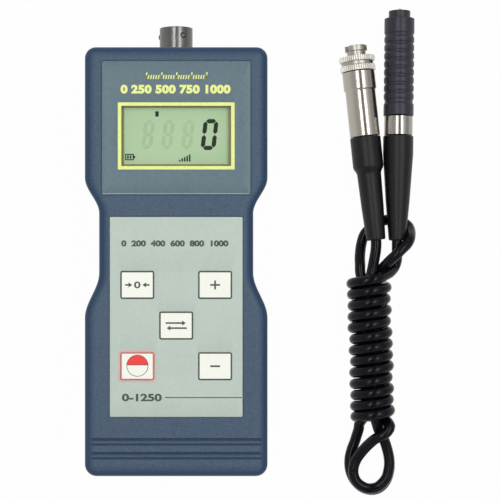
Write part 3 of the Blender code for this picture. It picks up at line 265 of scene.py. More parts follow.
FINISHES = {
    "case": case_plastic(),
    "display_film": printed("display_film", (91, 114, 124), 0.46, 1.6, 0.03),
    # A pale painted highlight, laid only along the foot edge of the display sheet.
    "film_edge": printed("painted_edge_highlight", (142, 164, 172), 0.40, 1.6, 0.03),
    "keypad_film": printed("keypad_film", (190, 204, 194), 0.48, 0.9, 0.012),
    "key": printed("key_plastic", (252, 254, 243), 0.40, 1.4, 0.004),
    "yellow_ink": printed("yellow_ink", (240, 250, 148), 0.45, 1.1, 0.02),
    "dark_ink": printed("dark_ink", (62, 76, 66), 0.45),
    "olive_ink": printed("olive_ink", (66, 72, 52), 0.45),
    "red_ink": printed("red_ink", (242, 50, 46), 0.40, 1.1, 0.03),
    "red_line": printed("red_line", (226, 104, 100), 0.42),
    "pink_ink": printed("pink_ink", (222, 178, 172), 0.48, 0.8, 0.03),
    "maroon_ink": printed("maroon_ink", (128, 52, 50), 0.42),
    "grey_line": printed("grey_line", (96, 112, 100), 0.42),
    "lens": window_lens(),
    "glass": display_glass(),
    # Olive of painted shade, for the band round the display's edge.
    "bezel": printed("painted_window_shade", (138, 137, 62), 0.40, 0.8, 0.06),
    "segment": printed("segment_ink", (36, 47, 29), 0.50, 0.8, 0.08, specular_ior_level=0.05),
    "ghost": printed("unlit_segment", (173, 201, 159), 0.40, 0.8, 0.02, specular_ior_level=0.25),
    "steel": turned_metal("nickel_steel", (92, 92, 90), (128, 127, 124), 0.30, (9.0, 0.05, 1.0)),
    "ring": turned_metal("ring_nickel", (150, 147, 141), (172, 168, 162), 0.22, (6.0, 0.05, 1.0)),
    "barrel": turned_metal("plug_nickel", (164, 159, 149), (182, 177, 167), 0.22, (2.0, 1.0, 1.0)),
    "knurl": turned_metal("knurled_nickel", (212, 210, 202), (226, 224, 217), 0.52),
    "nose": turned_metal("nose_nickel", (146, 143, 134), (174, 171, 162), 0.38),
    "tip": turned_metal("hardened_tip", (206, 208, 208), (228, 230, 230), 0.16),
    "grip": moulded("grip_plastic", (34, 34, 44), (43, 43, 55), 0.5, 0.40, 0.012, specular_ior_level=0.36),
    "insert": moulded("insert_plastic", (24, 24, 28), (33, 33, 37), 0.6, 0.45, 0.012, specular_ior_level=0.3),
    "rubber": moulded("boot_rubber", (12, 12, 13), (19, 19, 20), 0.7, 0.42, 0.012, specular_ior_level=0.26),
    "cord": cord_jacket(),
    "board": moulded("board_mask", (16, 84, 46), (24, 104, 58), 0.9, 0.40, 0.010),
    "chip": moulded("chip_resin", (30, 30, 32), (42, 42, 44), 0.5, 0.60, 0.010),
    "spring": plain_metal("spring_nickel", (170, 166, 158), (196, 192, 184), 0.28),
    "screw": plain_metal("screw_zinc", (150, 148, 144), (182, 180, 176), 0.32),
    "sleeve": moulded("cell_sleeve", (176, 180, 188), (194, 198, 206), 1.4, 0.34, 0.006, metallic=0.55),
    "sleeve_band": moulded("cell_band", (52, 60, 72), (62, 70, 84), 1.2, 0.36, 0.006),
}


# Working shapes, in millimetres
def shift(x, y, z=0.0):
    return Matrix.Translation((x, y, z))


def spin(degrees, axis="Z"):
    return Matrix.Rotation(math.radians(degrees), 4, axis)


def working(name, data):
    made = bpy.data.objects.new(name, data)
    bpy.context.scene.collection.objects.link(made)
    return made


def settled(made, *tools):
    """The finished mesh of a working object, which is then cleared away with its tools."""
    data = bpy.data.meshes.new_from_object(made.evaluated_get(bpy.context.evaluated_depsgraph_get()))
    for used in (made, *tools):
        bpy.data.objects.remove(used)
    return data


def meshed(shape, name="shape"):
    """A mesh from a bmesh, with its doubles merged and its faces turned outwards."""
    if isinstance(shape, bpy.types.Mesh):
        return shape
    bmesh.ops.remove_doubles(shape, verts=shape.verts, dist=1e-5)
    bmesh.ops.recalc_face_normals(shape, faces=shape.faces)
    data = bpy.data.meshes.new(name)
    shape.to_mesh(data)
    shape.free()
    return data


def piece(name, shape, finish, body="gauge", place=None, replaces=(), sharp=24.0):
    """Places a shape as a piece of the model: in metres, with its finish, riding on a body."""
    data = meshed(shape)
    data.name = name
    data.transform(METRES @ (place or Matrix()))
    data.shade_smooth()
    data.set_sharp_from_angle(angle=math.radians(sharp))
    numbers = [face.material_index for face in data.polygons]
    data.materials.clear()
    for key in [finish] if isinstance(finish, str) else finish:
        data.materials.append(FINISHES[key])
    for face, number in zip(data.polygons, numbers):
        face.material_index = min(number, len(data.materials) - 1)
    made = working(name, data)
    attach(made, body)
    if replaces:
        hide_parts(*replaces)
    return made


def together(*shapes):
    """Several shapes as one mesh, each with its own material number where a pair gives one."""
    whole = bmesh.new()
    for shape in shapes:
        data, number = shape if isinstance(shape, tuple) else (shape, None)
        data = meshed(data)
        before = len(whole.faces)
        whole.from_mesh(data)
        whole.faces.ensure_lookup_table()
        if number is not None:
            for face in whole.faces[before:]:
                face.material_index = number
    data = bpy.data.meshes.new("together")
    whole.to_mesh(data)
    whole.free()
    return data


def moved(shape, matrix):
    data = meshed(shape)
    data.transform(matrix)
    return data


def carved(base, cuts=(), joins=(), keep=None):
    """A solid after each join and cut, in that order."""
    made = working("carved", meshed(base))
    tools = []
    steps = [("UNION", s) for s in joins] + [("DIFFERENCE", s) for s in cuts]
    steps += [("INTERSECT", keep)] if keep else []
    for operation, shape in steps:
        tool = working("tool", meshed(shape))
        change = made.modifiers.new(operation, "BOOLEAN")
        change.operation, change.solver, change.object = operation, "EXACT", tool
        tools.append(tool)
    return settled(made, *tools)


def rounded(x, y, width, height, corner, growth=0.0, steps=8):
    """Outline of a rectangle with round corners, grown outwards by growth."""
    reach = max(corner + growth, 0.02)
    outline = []
    for quarter, (i, j) in enumerate(((1, 1), (-1, 1), (-1, -1), (1, -1))):
        for step in range(steps + 1):
            angle = math.radians(90 * (quarter + step / steps))
            across = x + i * (width / 2 + growth - reach) + reach * math.cos(angle)
            outline.append((across, y + j * (height / 2 + growth - reach) + reach * math.sin(angle)))
    return outline


def ring_of(radius, x=0.0, y=0.0, steps=48):
    turns = [math.tau * i / steps for i in range(steps)]
    return [(x + radius * math.cos(turn), y + radius * math.sin(turn)) for turn in turns]


def outline_of(x, y, width, height, corner, growth=0.0):
    """The outline of a rounded rectangle as a function of its further growth."""
    return lambda more: rounded(x, y, width, height, corner, growth + more)


def walls(shape, rings):
    """Loops of points through rings of equal counts, joined by walls."""
    loops = [[shape.verts.new(point) for point in ring] for ring in rings]
    for lower, upper in zip(loops, loops[1:]):
        for i in range(len(lower)):
            j = (i + 1) % len(lower)
            shape.faces.new((lower[i], lower[j], upper[j], upper[i]))
    return loops


def loft(rings):
    """A solid through rings of equal counts, capped at its ends."""
    shape = bmesh.new()
    loops = walls(shape, rings)
    shape.faces.new(loops[0][::-1])
    shape.faces.new(loops[-1])
    return shape


def level(outline, height):
    return [(x, y, height) for x, y in outline]


def prism(outline, low, high):
    return loft([level(outline, low), level(outline, high)])


def stacked(outline_at, levels):
    """A solid whose outline grows by each level's growth: levels of (growth, height)."""
    return loft([level(outline_at(growth), height) for growth, height in levels])


def softened(levels, radius, steps=5):
    """A section's points with each corner rounded to about a radius, its ends left as they are."""
    eased = [levels[0]]
    for before, corner, after in zip(levels, levels[1:], levels[2:]):
        back = Vector(before) - Vector(corner)
        ahead = Vector(after) - Vector(corner)
        if min(back.length, ahead.length) < 1e-6 or back.angle(-ahead, 0) < math.radians(12):
            eased.append(corner)
            continue
        reach = min(radius, back.length * 0.45, ahead.length * 0.45)
        start, end = Vector(corner) + back.normalized() * reach, Vector(corner) + ahead.normalized() * reach
        for step in range(steps + 1):
            t = step / steps
            point = start.lerp(Vector(corner), t).lerp(Vector(corner).lerp(end, t), t)
            eased.append((point.x, point.y))
    return eased + [levels[-1]]


def lathe(section, steps=72, radius=0.12):
    """A section of (radius, height) points turned about Z, with its UV map running round and along it."""
    section = softened(section, radius) if radius else section
    closed = section[0][0] > 0 and section[-1][0] > 0
    shape = bmesh.new()
    loops = []
    for reach, height in section:
        if reach <= 1e-6:
            loops.append([shape.verts.new((0, 0, height))])
        else:
            loops.append([shape.verts.new((x, y, height)) for x, y in ring_of(reach, steps=steps)])
    layer = shape.loops.layers.uv.new("turn")
    lengths = [0.0]
    for start, end in zip(section, section[1:]):
        lengths.append(lengths[-1] + math.dist(start, end))
    pairs = list(zip(loops, loops[1:], lengths, lengths[1:]))
    if closed:
        pairs.append((loops[-1], loops[0], lengths[-1], lengths[-1] + math.dist(section[-1], section[0])))
    for lower, upper, low, high in pairs:
        for i in range(steps):
            j = (i + 1) % steps
            corners = [(lower[i % len(lower)], i, low), (lower[j % len(lower)], i + 1, low)]
            corners += [(upper[j % len(upper)], i + 1, high), (upper[i % len(upper)], i, high)]
            kept = []
            for corner in corners:
                if corner[0] not in [k[0] for k in kept]:
                    kept.append(corner)
            if len(kept) < 3:
                continue
            face = shape.faces.new([corner[0] for corner in kept])
            for loop, (_, turn, along) in zip(face.loops, kept):
                loop[layer].uv = (turn / steps, along / 10)
    return shape


def plate(outline_at, holes, low, high, edge=0.08):
    """A flat sheet with holes, its upper edges softened: each outline is a function of its growth."""
    shape = bmesh.new()
    floors, tops = [], []
    for number, at in enumerate([outline_at, *holes]):
        way = -1 if number == 0 else 1
        rings = [level(at(0), low), level(at(0), high - edge), level(at(way * edge * 0.3), high - edge * 0.3)]
        loops = walls(shape, rings + [level(at(way * edge), high)])
        for kept, loop in ((floors, loops[0]), (tops, loops[-1])):
            kept += [shape.edges.get((a, b)) for a, b in zip(loop, loop[1:] + loop[:1])]
    for edges in (floors, tops):
        bmesh.ops.triangle_fill(shape, use_beauty=True, use_dissolve=False, edges=edges)
    return shape


def lettering(text, box, low, high, bold, spacing=1.0):
    """Words or numbers as a thin raised mesh that fills a box of (left, foot, right, head)."""
    curve = bpy.data.curves.new("lettering", "FONT")
    curve.body, curve.size, curve.extrude = text, 4.0, (high - low) / 2
    curve.offset, curve.space_character, curve.resolution_u = bold, spacing, 6
    data = settled(working("lettering", curve))
    low_x, high_x = min(v.co.x for v in data.vertices), max(v.co.x for v in data.vertices)
    low_y, high_y = min(v.co.y for v in data.vertices), max(v.co.y for v in data.vertices)
    across, up = (box[2] - box[0]) / (high_x - low_x), (box[3] - box[1]) / (high_y - low_y)
    place = shift(box[0], box[1], (low + high) / 2) @ Matrix.Diagonal((across, up, 1, 1))
    data.transform(place @ shift(-low_x, -low_y))
    return data


# Pieces that repeat
def repeat_tree():
    """Copies of one part, each moved by a step and turned by an angle from the last."""
    tree = bpy.data.node_groups.new("Repeated part", "GeometryNodeTree")
    sockets = {"Base": "Geometry", "Part": "Object", "Count": "Int", "Step": "Vector", "Turn": "Float"}
    sockets["Finish"] = "Material"
    for name, kind in sockets.items():
        tree.interface.new_socket(name, in_out="INPUT", socket_type=f"NodeSocket{kind}")
    tree.interface.new_socket("Result", in_out="OUTPUT", socket_type="NodeSocketGeometry")

    def outputs(kind, values, **settings):
        return add_node(tree, kind, values, **settings).outputs

    given = outputs("NodeGroupInput", {})
    index = outputs("GeometryNodeInputIndex", {})[0]
    away = outputs("ShaderNodeVectorMath", {0: given["Step"], "Scale": index}, operation="SCALE")[0]
    points = outputs("GeometryNodePoints", {"Count": given["Count"], "Position": away})[0]
    angle = outputs("ShaderNodeMath", {0: given["Turn"], 1: index}, operation="MULTIPLY")[0]
    rotation = outputs("FunctionNodeAxisAngleToRotation", {"Angle": angle})[0]
    part = outputs("GeometryNodeObjectInfo", {"Object": given["Part"]})["Geometry"]
    placed = {"Points": points, "Instance": part, "Rotation": rotation}
    copies = outputs("GeometryNodeInstanceOnPoints", placed)[0]
    real = outputs("GeometryNodeRealizeInstances", {0: copies})[0]
    finish = outputs("GeometryNodeSetMaterial", {"Geometry": real, "Material": given["Finish"]})[0]
    outputs("NodeGroupOutput", {0: finish})
    return tree


REPEAT = repeat_tree()


def repeated(part, count, step=(0, 0, 0), turn=0.0, finish="case"):
    """One mesh of count copies of a part, stepped and turned, from the tree above."""
    source = working("part", meshed(part))
    made = working("row", bpy.data.meshes.new("row"))
    change = made.modifiers.new("Repeat", "NODES")
    change.node_group = REPEAT
    names = {item.name: item.identifier for item in REPEAT.interface.items_tree if item.in_out == "INPUT"}
    values = {"Part": source, "Count": count, "Step": step, "Turn": turn, "Finish": FINISHES[finish]}
    for name, value in values.items():
        change[names[name]] = value
    return settled(made, source)


def around(part, count, finish):
    """Copies of a part at even turns about Z."""
    return repeated(part, count, (0, 0, 0), math.tau / count, finish)


# Camera
def camera():
    """Looks straight down from above the gauge, which stands left of the picture's middle."""
    data = bpy.data.cameras.new("camera")
    data.lens, data.sensor_width, data.shift_x = 104.04, 36.0, 0.1476
    data.clip_start, data.clip_end = 0.05, 20.0
    made = working("camera", data)
    made.location = (0, 0.0044, 0.574)
    bpy.context.scene.camera = made


# Lead
def along_curve(points, spacing):
    """Points at even steps along a smooth curve through the given ones."""
    places = [Vector(point) for point in points]
    places = [2 * places[0] - places[1]] + places + [2 * places[-1] - places[-2]]
    fine, steps = [], 16
    for before, start, end, after in zip(places, places[1:], places[2:], places[3:]):
        for step in range(steps):
            t = step / steps
            bend = 2 * before - 5 * start + 4 * end - after
            twist = 3 * start - before - 3 * end + after
            fine.append(start + 0.5 * (t * (end - before) + t * t * bend + t**3 * twist))
    fine.append(places[-2])
    route, run = [fine[0]], 0.0
    for start, end in zip(fine, fine[1:]):
        run += (end - start).length
        if run >= spacing:
            route.append(end)
            run = 0.0
    route[-1] = fine[-1]
    return route


def axis_frame(start, direction):
    """Places a turned piece with its Z axis along a direction."""
    return Matrix.Translation(start) @ Vector(direction).to_track_quat("Z", "Y").to_matrix().to_4x4()


PROBE = axis_frame((86.45, 8.1, 8.6), (0.015351, 0.999402, -0.030981))
PLUG = axis_frame((78.2, 8.3, 8.5), (-0.102077, 0.994574, -0.020083))


# The winding's turns, the points drawn to a turn, and the radii of its coil and of the strands inside it
TURNS, TURN_POINTS, COIL_RADIUS, STRAND_RADIUS = 13, 16, 6.5, 2.45
WINDING_HEAD, WINDING_FOOT = Vector((75.25, -6.05, 8.6)), Vector((76.99, -62.9, 8.6))

# The free parts of the lead, in the order in which it runs from the plug
FROM_PLUG = [(78.0, 3.6, 8.7), (77.3, 0.2, 9.4), (76.2, -4.6, 10.7)]
OUTER_LOOP = [
    (72.4, -63.8, 4.0), (72.1, -66.2, 3.3), (71.4, -68.8, 2.6), (70.6, -71.6, 2.2), (69.6, -74.2, 2.1),
    (68.8, -77.2, 2.1), (68.6, -79.5, 2.1), (68.8, -82.2, 2.1), (69.6, -84.8, 2.1), (71.2, -87.4, 2.1),
    (73.8, -89.6, 2.1), (77.2, -90.5, 2.1), (80.5, -89.6, 2.1), (83.0, -86.8, 2.1), (84.2, -83.1, 2.1),
    (84.4, -79.5, 2.1), (84.0, -76.3, 2.1), (83.3, -73.7, 2.1), (82.4, -71.0, 2.2), (81.2, -68.7, 2.5),
    (80.7, -66.2, 3.3), (80.0, -63.8, 4.2),
]
TOP_LOOP = [
    (72.3, -4.6, 6.6), (72.3, -1.5, 5.9), (72.4, 1.8, 4.4), (73.2, 6.7, 2.6), (74.8, 11.0, 2.1),
    (78.7, 14.5, 2.1), (83.2, 16.3, 2.1), (87.8, 16.1, 2.1), (91.5, 14.0, 2.8), (92.0, 11.2, 6.2),
    (90.9, 8.5, 11.0), (89.4, 6.3, 12.4), (87.7, 4.8, 13.0), (86.0, 3.1, 13.3), (83.5, 0.7, 12.2),
    (81.4, -1.8, 10.0), (80.0, -3.6, 8.6), (79.6, -4.6, 8.1),
]
INNER_LOOP = [
    (78.5, -63.8, 9.3), (79.2, -65.9, 8.7), (80.5, -68.2, 7.7), (81.7, -70.4, 7.0), (82.6, -73.1, 6.7),
    (83.3, -75.7, 6.6), (83.7, -78.8, 6.6), (83.5, -81.5, 6.6), (82.4, -85.3, 6.6), (79.2, -88.6, 6.6),
    (75.7, -89.3, 6.6), (73.4, -88.6, 6.6), (71.0, -86.8, 6.6), (69.7, -84.1, 6.6), (69.6, -81.0, 6.7),
    (70.7, -77.7, 7.0), (72.8, -74.5, 8.0), (75.2, -71.5, 9.7), (77.6, -69.0, 11.7), (80.5, -67.5, 12.7),
    (82.5, -65.7, 12.4), (83.1, -63.8, 11.7),
]
TO_PROBE = [(82.6, -4.9, 10.2), (84.2, -3.9, 8.2), (85.5, -2.6, 6.7), (86.3, -0.9, 6.4), (86.6, 1.4, 7.2)]


def round_axis(part, degrees, radius):
    """A point round the winding's axis, part of the way from its head to its foot."""
    angle = math.radians(degrees)
    return WINDING_HEAD.lerp(WINDING_FOOT, part) + radius * Vector((math.cos(angle), 0, math.sin(angle)))


def strand(start, end, upwards=False):
    """A strand inside the winding, which turns from one angle to another on its way down."""
    parts = [0.06 + 0.88 * i / 13 for i in range(14)]
    places = [round_axis(part, start + (end - start) * part, STRAND_RADIUS) for part in parts]
    return places[::-1] if upwards else places


def wound(number):
    """A point of the winding, which lies a little unevenly, wider at its head and tighter at its foot."""
    x, y, z = round_axis(number / (TURNS * TURN_POINTS), 360 * number / TURN_POINTS, COIL_RADIUS)
    on_left = x < WINDING_HEAD.x
    uneven = 0.30 * math.sin(number / 6.1) + 0.22 * math.sin(number / 15.7 + 1)
    wide = 0.9 * max(0, 1 - number / 22) * on_left
    last = min(1, max(0, (number - 186) / 12))
    tilt = 0.35 * math.cos(math.tau * number / TURN_POINTS)
    across = x + uneven * 0.8 - wide - 0.6 * last * on_left
    return across, y + 0.05 * math.sin(number / 9.3) + 0.3 * last - 0.3 * wide + tilt, z


def lead():
    """The lead from the plug to the probe: three strands up and down inside thirteen turns of its own end."""
    route = [PLUG @ Vector((0, 0, 0.9)), PLUG @ Vector((0.1, 0, -1.6))] + FROM_PLUG + strand(90, 210)
    route += OUTER_LOOP + strand(210, 330, True) + TOP_LOOP + strand(330, 450) + INNER_LOOP
    route += [wound(i) for i in range(TURNS * TURN_POINTS - 2, 2, -1)] + TO_PROBE
    route += [PROBE @ Vector((0, 0, -4.1)), PROBE @ Vector((0, 0, 0.9))]
    places = along_curve(route[::-1], 1.2)
    curve = bpy.data.curves.new("probe_lead", "CURVE")
    curve.dimensions, curve.bevel_depth, curve.bevel_resolution = "3D", 0.0021, 5
    curve.use_fill_caps = True
    spline = curve.splines.new("POLY")
    spline.points.add(len(places) - 1)
    length = 0.0
    for i, place in enumerate(places):
        spline.points[i].co = (*(place * 0.001), 1.0)
        length += (place - places[i - 1]).length if i else 0
    curve.materials.append(FINISHES["cord"])
    made = working("probe_lead", curve)
    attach(made, "gauge")
    loops = ("cord_plug_lead", "cord_probe_lead", "cord_top_loop", "cord_outer_loop", "cord_inner_loop")
    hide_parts(*loops, "cord_winding")
    return made, round(length / 1000, 3)


def declare_lead(made, length, plug):
    """Puts the point where the lead leaves the probe's boot, and a connector as its far end, in a table that
    goes no further.
    """
    ends = {"exit": tuple((PROBE @ Vector((0, 0, 0))) * 0.001), "far_end": "connector"}


# Case
def case_outline(inset):
    """The case seen from its face: square head, eased waist and a wider foot."""
    side, ease_steps, corner_steps = [], 26, 8

    def corner(radius, y, start):
        reach = max(radius - inset, 0.3)
        for step in range(corner_steps + 1):
            angle = math.radians(start + 90 * step / corner_steps)
            across = HALF_WIDTH - inset - reach + reach * math.cos(angle)
            side.append((across, y - math.copysign(inset + reach, y) + reach * math.sin(angle)))

    def eased(first, last, start, length):
        for step in range(ease_steps + 1):
            part = step / ease_steps
            width = first + (last - first) * (1 - math.cos(math.pi * part)) / 2
            side.append((width - inset, start + length * part))

    corner(4.5, -HALF_LENGTH, -90)
    eased(HALF_WIDTH, HALF_WAIST, -21.4, 17.4)
    eased(HALF_WAIST, HALF_WIDTH, 18.1, 13.7)
    corner(4.2, HALF_LENGTH, 0)
    return side + [(-x, y) for x, y in reversed(side)]


def rounded_edge(width, depth, face, towards):
    """Levels of (inset, height) that round the case into a face, which lies up (1) or down (-1) from them."""
    levels, steps = [], 9
    for step in range(steps + 1):
        angle = math.radians(90 * step / steps)
        levels.append((width * (1 - math.cos(angle)), face + towards * depth * (math.sin(angle) - 1)))
    return levels


def case_solid(levels):
    return loft([level(case_outline(inset), height) for inset, height in levels])


def lipped(outline_at, floor):
    """A cutter that sinks a recess to a floor, with a rounded lip and a small fillet at its foot."""
    lip, fillet = 0.28, 0.15
    levels = [(-fillet, floor), (-fillet * 0.3, floor + fillet * 0.3), (0, floor + fillet), (0, FACE - lip)]
    for degrees in (15, 30, 45, 60, 72):
        angle = math.radians(degrees)
        levels.append((lip * (1 - math.cos(angle)), FACE - lip + lip * math.sin(angle)))
    levels.append((lip * 1.6, FACE + 0.35))
    return stacked(outline_at, levels)


def upright(x, y, radius, low, high):
    return prism(ring_of(radius, x, y), low, high)


def slab(x, y, z):
    return prism([(x[0], y[0]), (x[1], y[0]), (x[1], y[1]), (x[0], y[1])], *z)


def sunk(shape, floor, growth=0.0):
    """A cutter from a floor to above the face."""
    return stacked(outline_of(*shape, growth), [(0, floor), (0, OVER_FACE)])


ALONG_SOCKET = shift(0, 0, SOCKET_AXIS) @ spin(-90, "X")


def socket_hole():
    """The round hole for the socket, rounded at its mouth in the head wall."""
    section = [(0, 69), (6.65, 69), (6.65, 80.7), (6.72, 80.88), (7.2, 81.4), (0, 81.4)]
    return moved(lathe(section, 64, 0), ALONG_SOCKET)


def foot_groove(head):
    """Two valleys with a bead between them across the foot of the face, shallower at their ends."""
    slope = [(0.20, 0.5), (0.08, 0.05), (-0.02, -0.12), (-0.14, -1.25), (-0.35, -1.50), (-1.05, -1.50)]
    slope += [(-1.25, -1.25), (-1.42, -0.30), (-1.60, -0.12), (-1.95, -0.12), (-2.12, -0.30)]
    slope += [(-2.24, -1.15), (-2.42, -1.40), (-2.82, -1.40), (-3.00, -1.15), (-3.12, -0.10)]
    slope += [(-3.2, 0.05), (-3.3, 0.5)]
    ends = [(-33.0, 0.0), (-32.2, 0.35), (-31.2, 0.8), (-30.0, 1.0)]
    rings = []
    for x, part in ends + [(-x, part) for x, part in reversed(ends)]:
        drop = max(abs(x) - (HALF_WIDTH - EDGE_WIDTH), 0) / EDGE_WIDTH
        top = FACE - EDGE_DEPTH * (1 - math.sqrt(1 - drop * drop))
        rings.append([(x, head + y, top + (z if z > 0 else 0.1 * (1 - part) + z * part)) for y, z in slope])
    return loft(rings)


def case_piece(name, shape, body, replaced):
    piece(name, shape, "case", body, replaces=(replaced,), sharp=22)


def front_shell():
    """The face half of the case, with its recesses, pockets, window and finger grooves."""
    outside = [(0.18, FRONT_SEAM), (0.04, FRONT_SEAM + 0.06), (0, FRONT_SEAM + 0.2)]
    outside += rounded_edge(EDGE_WIDTH, EDGE_DEPTH, FACE, 1) + [(EDGE_WIDTH + 0.25, FACE)]
    cuts = [case_solid([(WALL, FRONT_SEAM - 1), (WALL, 25.2), (EDGE_WIDTH, INNER_FACE)]), socket_hole()]
    cuts += [lipped(outline_of(*label, 0.3), RECESS_FLOOR) for label in (DISPLAY_LABEL, KEYPAD_LABEL)]
    cuts += [sunk(LENS_SEAT, LENS_FLOOR), sunk(DISPLAY_SEAT, 28)]
    for x, y in KEYS.values():
        cuts += [sunk((x, y, *KEY_SHAPE), POCKET_FLOOR, 0.3), upright(x, y, 2.5, 28, OVER_FACE)]
    cuts += [foot_groove(-71.3), foot_groove(-66.1)]
    case_piece("front_shell", carved(case_solid(outside), cuts), "gauge", "front_case")


def rear_shell():
    """The back half: rounded edge, battery bay with its slot, and four bores for the screws."""
    levels = [(0.18, REAR_SEAM), (0.04, REAR_SEAM - 0.06), (0, REAR_SEAM - 0.2)]
    levels += rounded_edge(2.5, 2.5, 0, -1) + [(2.7, 0)]
    hollow = case_solid([(WALL, REAR_SEAM + 1), (WALL, 4.7), (4.7, WALL)])
    kept = [slab((-25.9, 25.9), (-80, -26.8), (1.7, BAY_TOP))]
    cuts = [slab(BAY[:2], BAY[2:], (2.3, BAY_CEILING)), socket_hole()]
    for half, low in ((COVER_HALF, -1), (TONGUE_HALF, 1.0)):
        cuts.append(slab((-half - 0.3, half + 0.3), (-84, -28.0), (low, 2.6)))
    bore = [(0, -1), (2.9, -1), (2.78, 0.0), (2.55, 0.14), (2.5, 0.4), (2.5, 5.5), (0, 5.5)]
    for x in (-SCREW_COLUMN, SCREW_COLUMN):
        for y in SCREW_ROWS:
            kept.append(upright(x, y, 3.4, 1.7, 15.5))
            cuts += [moved(lathe(bore, 48, 0), shift(x, y)), upright(x, y, 1.7, 5, 16.3)]
    shell = carved(carved(case_solid(levels), [hollow]), cuts, kept)
    case_piece("rear_shell", shell, "gauge", "rear_case")


def battery_door():
    """The sliding cover: tongues at its sides, grip grooves at its head and a foot rounded like the case."""
    side = [(COVER_HALF, 0.3), (COVER_HALF, 1.3), (TONGUE_HALF, 1.3), (TONGUE_HALF, 2.3)]
    section = side + [(-x, z) for x, z in reversed(side)]
    section = softened(section[-1:] + section, 0.12, 3)[:-1]
    blank = loft([[(x, y, z) for x, z in section] for y in (-84, -28.3)])
    back = case_solid([(0, 15)] + rounded_edge(2.5, 2.5, 0, -1))
    valley = [(-0.62, -0.1), (-0.5, 0.55), (-0.3, 0.85), (0.3, 0.85), (0.5, 0.55), (0.62, -0.1)]
    groove = loft([[(x, y, z) for y, z in valley] for x in (-6.6, 6.6)])
    grooves = moved(repeated(groove, 5, (0, -2.4, 0)), shift(0, -33.1))
    case_piece("battery_door", carved(carved(blank, keep=back), [grooves]), "cover", "battery_cover")


# Face, display and keys
def face_labels():
    """The printed sheets on the face, with their window and key openings, and a painted highlight along the
    display sheet's foot edge.
    """
    sheet = plate(outline_of(*DISPLAY_LABEL), [outline_of(*WINDOW)], LABEL_LOW, LABEL_TOP)
    piece("display_sheet", sheet, "display_film", replaces=("display_label",))
    x, y, width, height, _ = DISPLAY_LABEL
    # Painted highlight: a pale strip along the sheet's foot edge, where its lip would catch the light.
    foot_highlight = tick(width - 0.8, 0.36, LABEL_TOP - 0.01, LABEL_TOP + 0.02)
    foot_highlight = moved(foot_highlight, shift(x, y - height / 2 + 0.22))
    piece("display_sheet_edge", foot_highlight, "film_edge")
    openings = [outline_of(x, y, *KEY_SHAPE, 0.1) for x, y in KEYS.values()]
    sheet = plate(outline_of(*KEYPAD_LABEL), openings, LABEL_LOW, LABEL_TOP, 0.04)
    piece("keypad_sheet", sheet, "keypad_film", replaces=("keypad_label",))


def band(outline_at, inner, outer, low, high):
    """A printed line that follows an outline, between two growths."""
    return plate(lambda g: outline_at(outer + g), [lambda g: outline_at(inner + g)], low, high, 0.01)


def tick(width, height, low, high):
    return plate(lambda g: rounded(0, 0, width, height, 0.05, g, 2), [], low, high, 0.01)


def face_print():
    """Ink on the two sheets: the window's yellow frame, a row of ticks, plain numbers and a thin line."""
    low, high = LABEL_TOP - 0.01, LABEL_TOP + 0.03
    frame_line = band(lambda g: rounded(0, 47.2, 41.2 + 2 * g, 22.6 + 2 * g, 0.15), 0.0, 1.3, low, high)
    short = repeated(tick(0.46, 1.5, low, high), 25, (0.94, 0, 0), 0.0, "yellow_ink")
    tall = repeated(tick(0.50, 2.5, low, high), 5, (5.64, 0, 0), 0.0, "yellow_ink")
    slant = Matrix(((1, 0.18, 0, -11.3), (0, 1, 0, 69.3), (0, 0, 1, 0), (0, 0, 0, 1)))
    marks = moved(together(short, moved(tall, shift(0, 0.5))), slant)
    numbers = lettering("0 250 500 750 1000", (-20.9, 63.0, 20.4, 66.4), low, high, 0.24, 1.06)
    piece("display_print_marks", together(frame_line, marks, numbers), "yellow_ink")
    scale = lettering("0  200  400  600  800  1000", (-20.6, 5.7, 19.6, 8.1), low, high, 0.22)
    span = lettering("0-1250", (-20.4, -52.4, -5.4, -49.5), low, high, 0.16)
    line = moved(tick(29.0, 0.36, low, high), shift(10.3, -50.95))
    piece("keypad_print_marks", together(scale, span, line), "dark_ink")
    halo = band(outline_of(*KEYS["power"], *KEY_SHAPE), 0.16, 0.75, low, high)
    piece("power_halo", halo, "pink_ink")


def window_parts():
    """The display behind its window: glass plate, an olive band of painted shade round its edge where the
    window's walls shade it, widest at its left, and its segments.
    """
    levels = [(-0.15, DISPLAY_LOW), (0, DISPLAY_LOW + 0.15), (0, DISPLAY_TOP - 0.15), (-0.15, DISPLAY_TOP)]
    glass = stacked(outline_of(*DISPLAY_PANE), levels)
    piece("display_pane", glass, "glass", replaces=("lcd_panel",))
    outside, opening = outline_of(*SHADE_BAND_OUTSIDE, 1.6), outline_of(*SHADE_BAND_OPENING)
    # Painted shade: an olive band on the glass round the window's edge.
    edge = plate(outside, [opening], DISPLAY_TOP + 0.01, DISPLAY_TOP + 0.3)
    piece("display_edge", edge, "bezel")
    low, high = DISPLAY_TOP, DISPLAY_TOP + 0.05
    zero = digit("abcdef", 9.1, 42.1, 5.65, 11.7, 1.6, low, high)
    marks = [moved(tick(*size, low, high), shift(x, y)) for x, y, *size in SMALL_MARKS]
    piece("display_digits", together(zero, *marks), "segment")
    unlit = moved(digit("abcdefg", 0, 0, 4.2, 11.1, 1.5, low, high - 0.02), shift(-13.3, 42.4))
    piece("unlit_digits", repeated(unlit, 3, (7.5, 0, 0), 0.0, "ghost"), "ghost")


# Small display marks, each a block of (x, y, width, height): a short bar, a cell and a rising scale
SMALL_MARKS = [(-7.25, 55.7, 1.3, 2.0), (-17.6, 40.45, 3.2, 0.4), (-17.6, 38.45, 3.2, 0.4)]
SMALL_MARKS += [(-19.05, 39.45, 0.4, 2.4), (-16.2, 39.45, 0.4, 2.4), (-15.75, 39.45, 0.5, 0.9)]
SMALL_MARKS += [(-18.2, 39.45, 0.6, 1.2), (-17.2, 39.45, 0.6, 1.2)]
SMALL_MARKS += [(1.3 + 0.95 * i, 38.1 + 0.25 * i, 0.6, 0.7 + 0.5 * i) for i in range(5)]


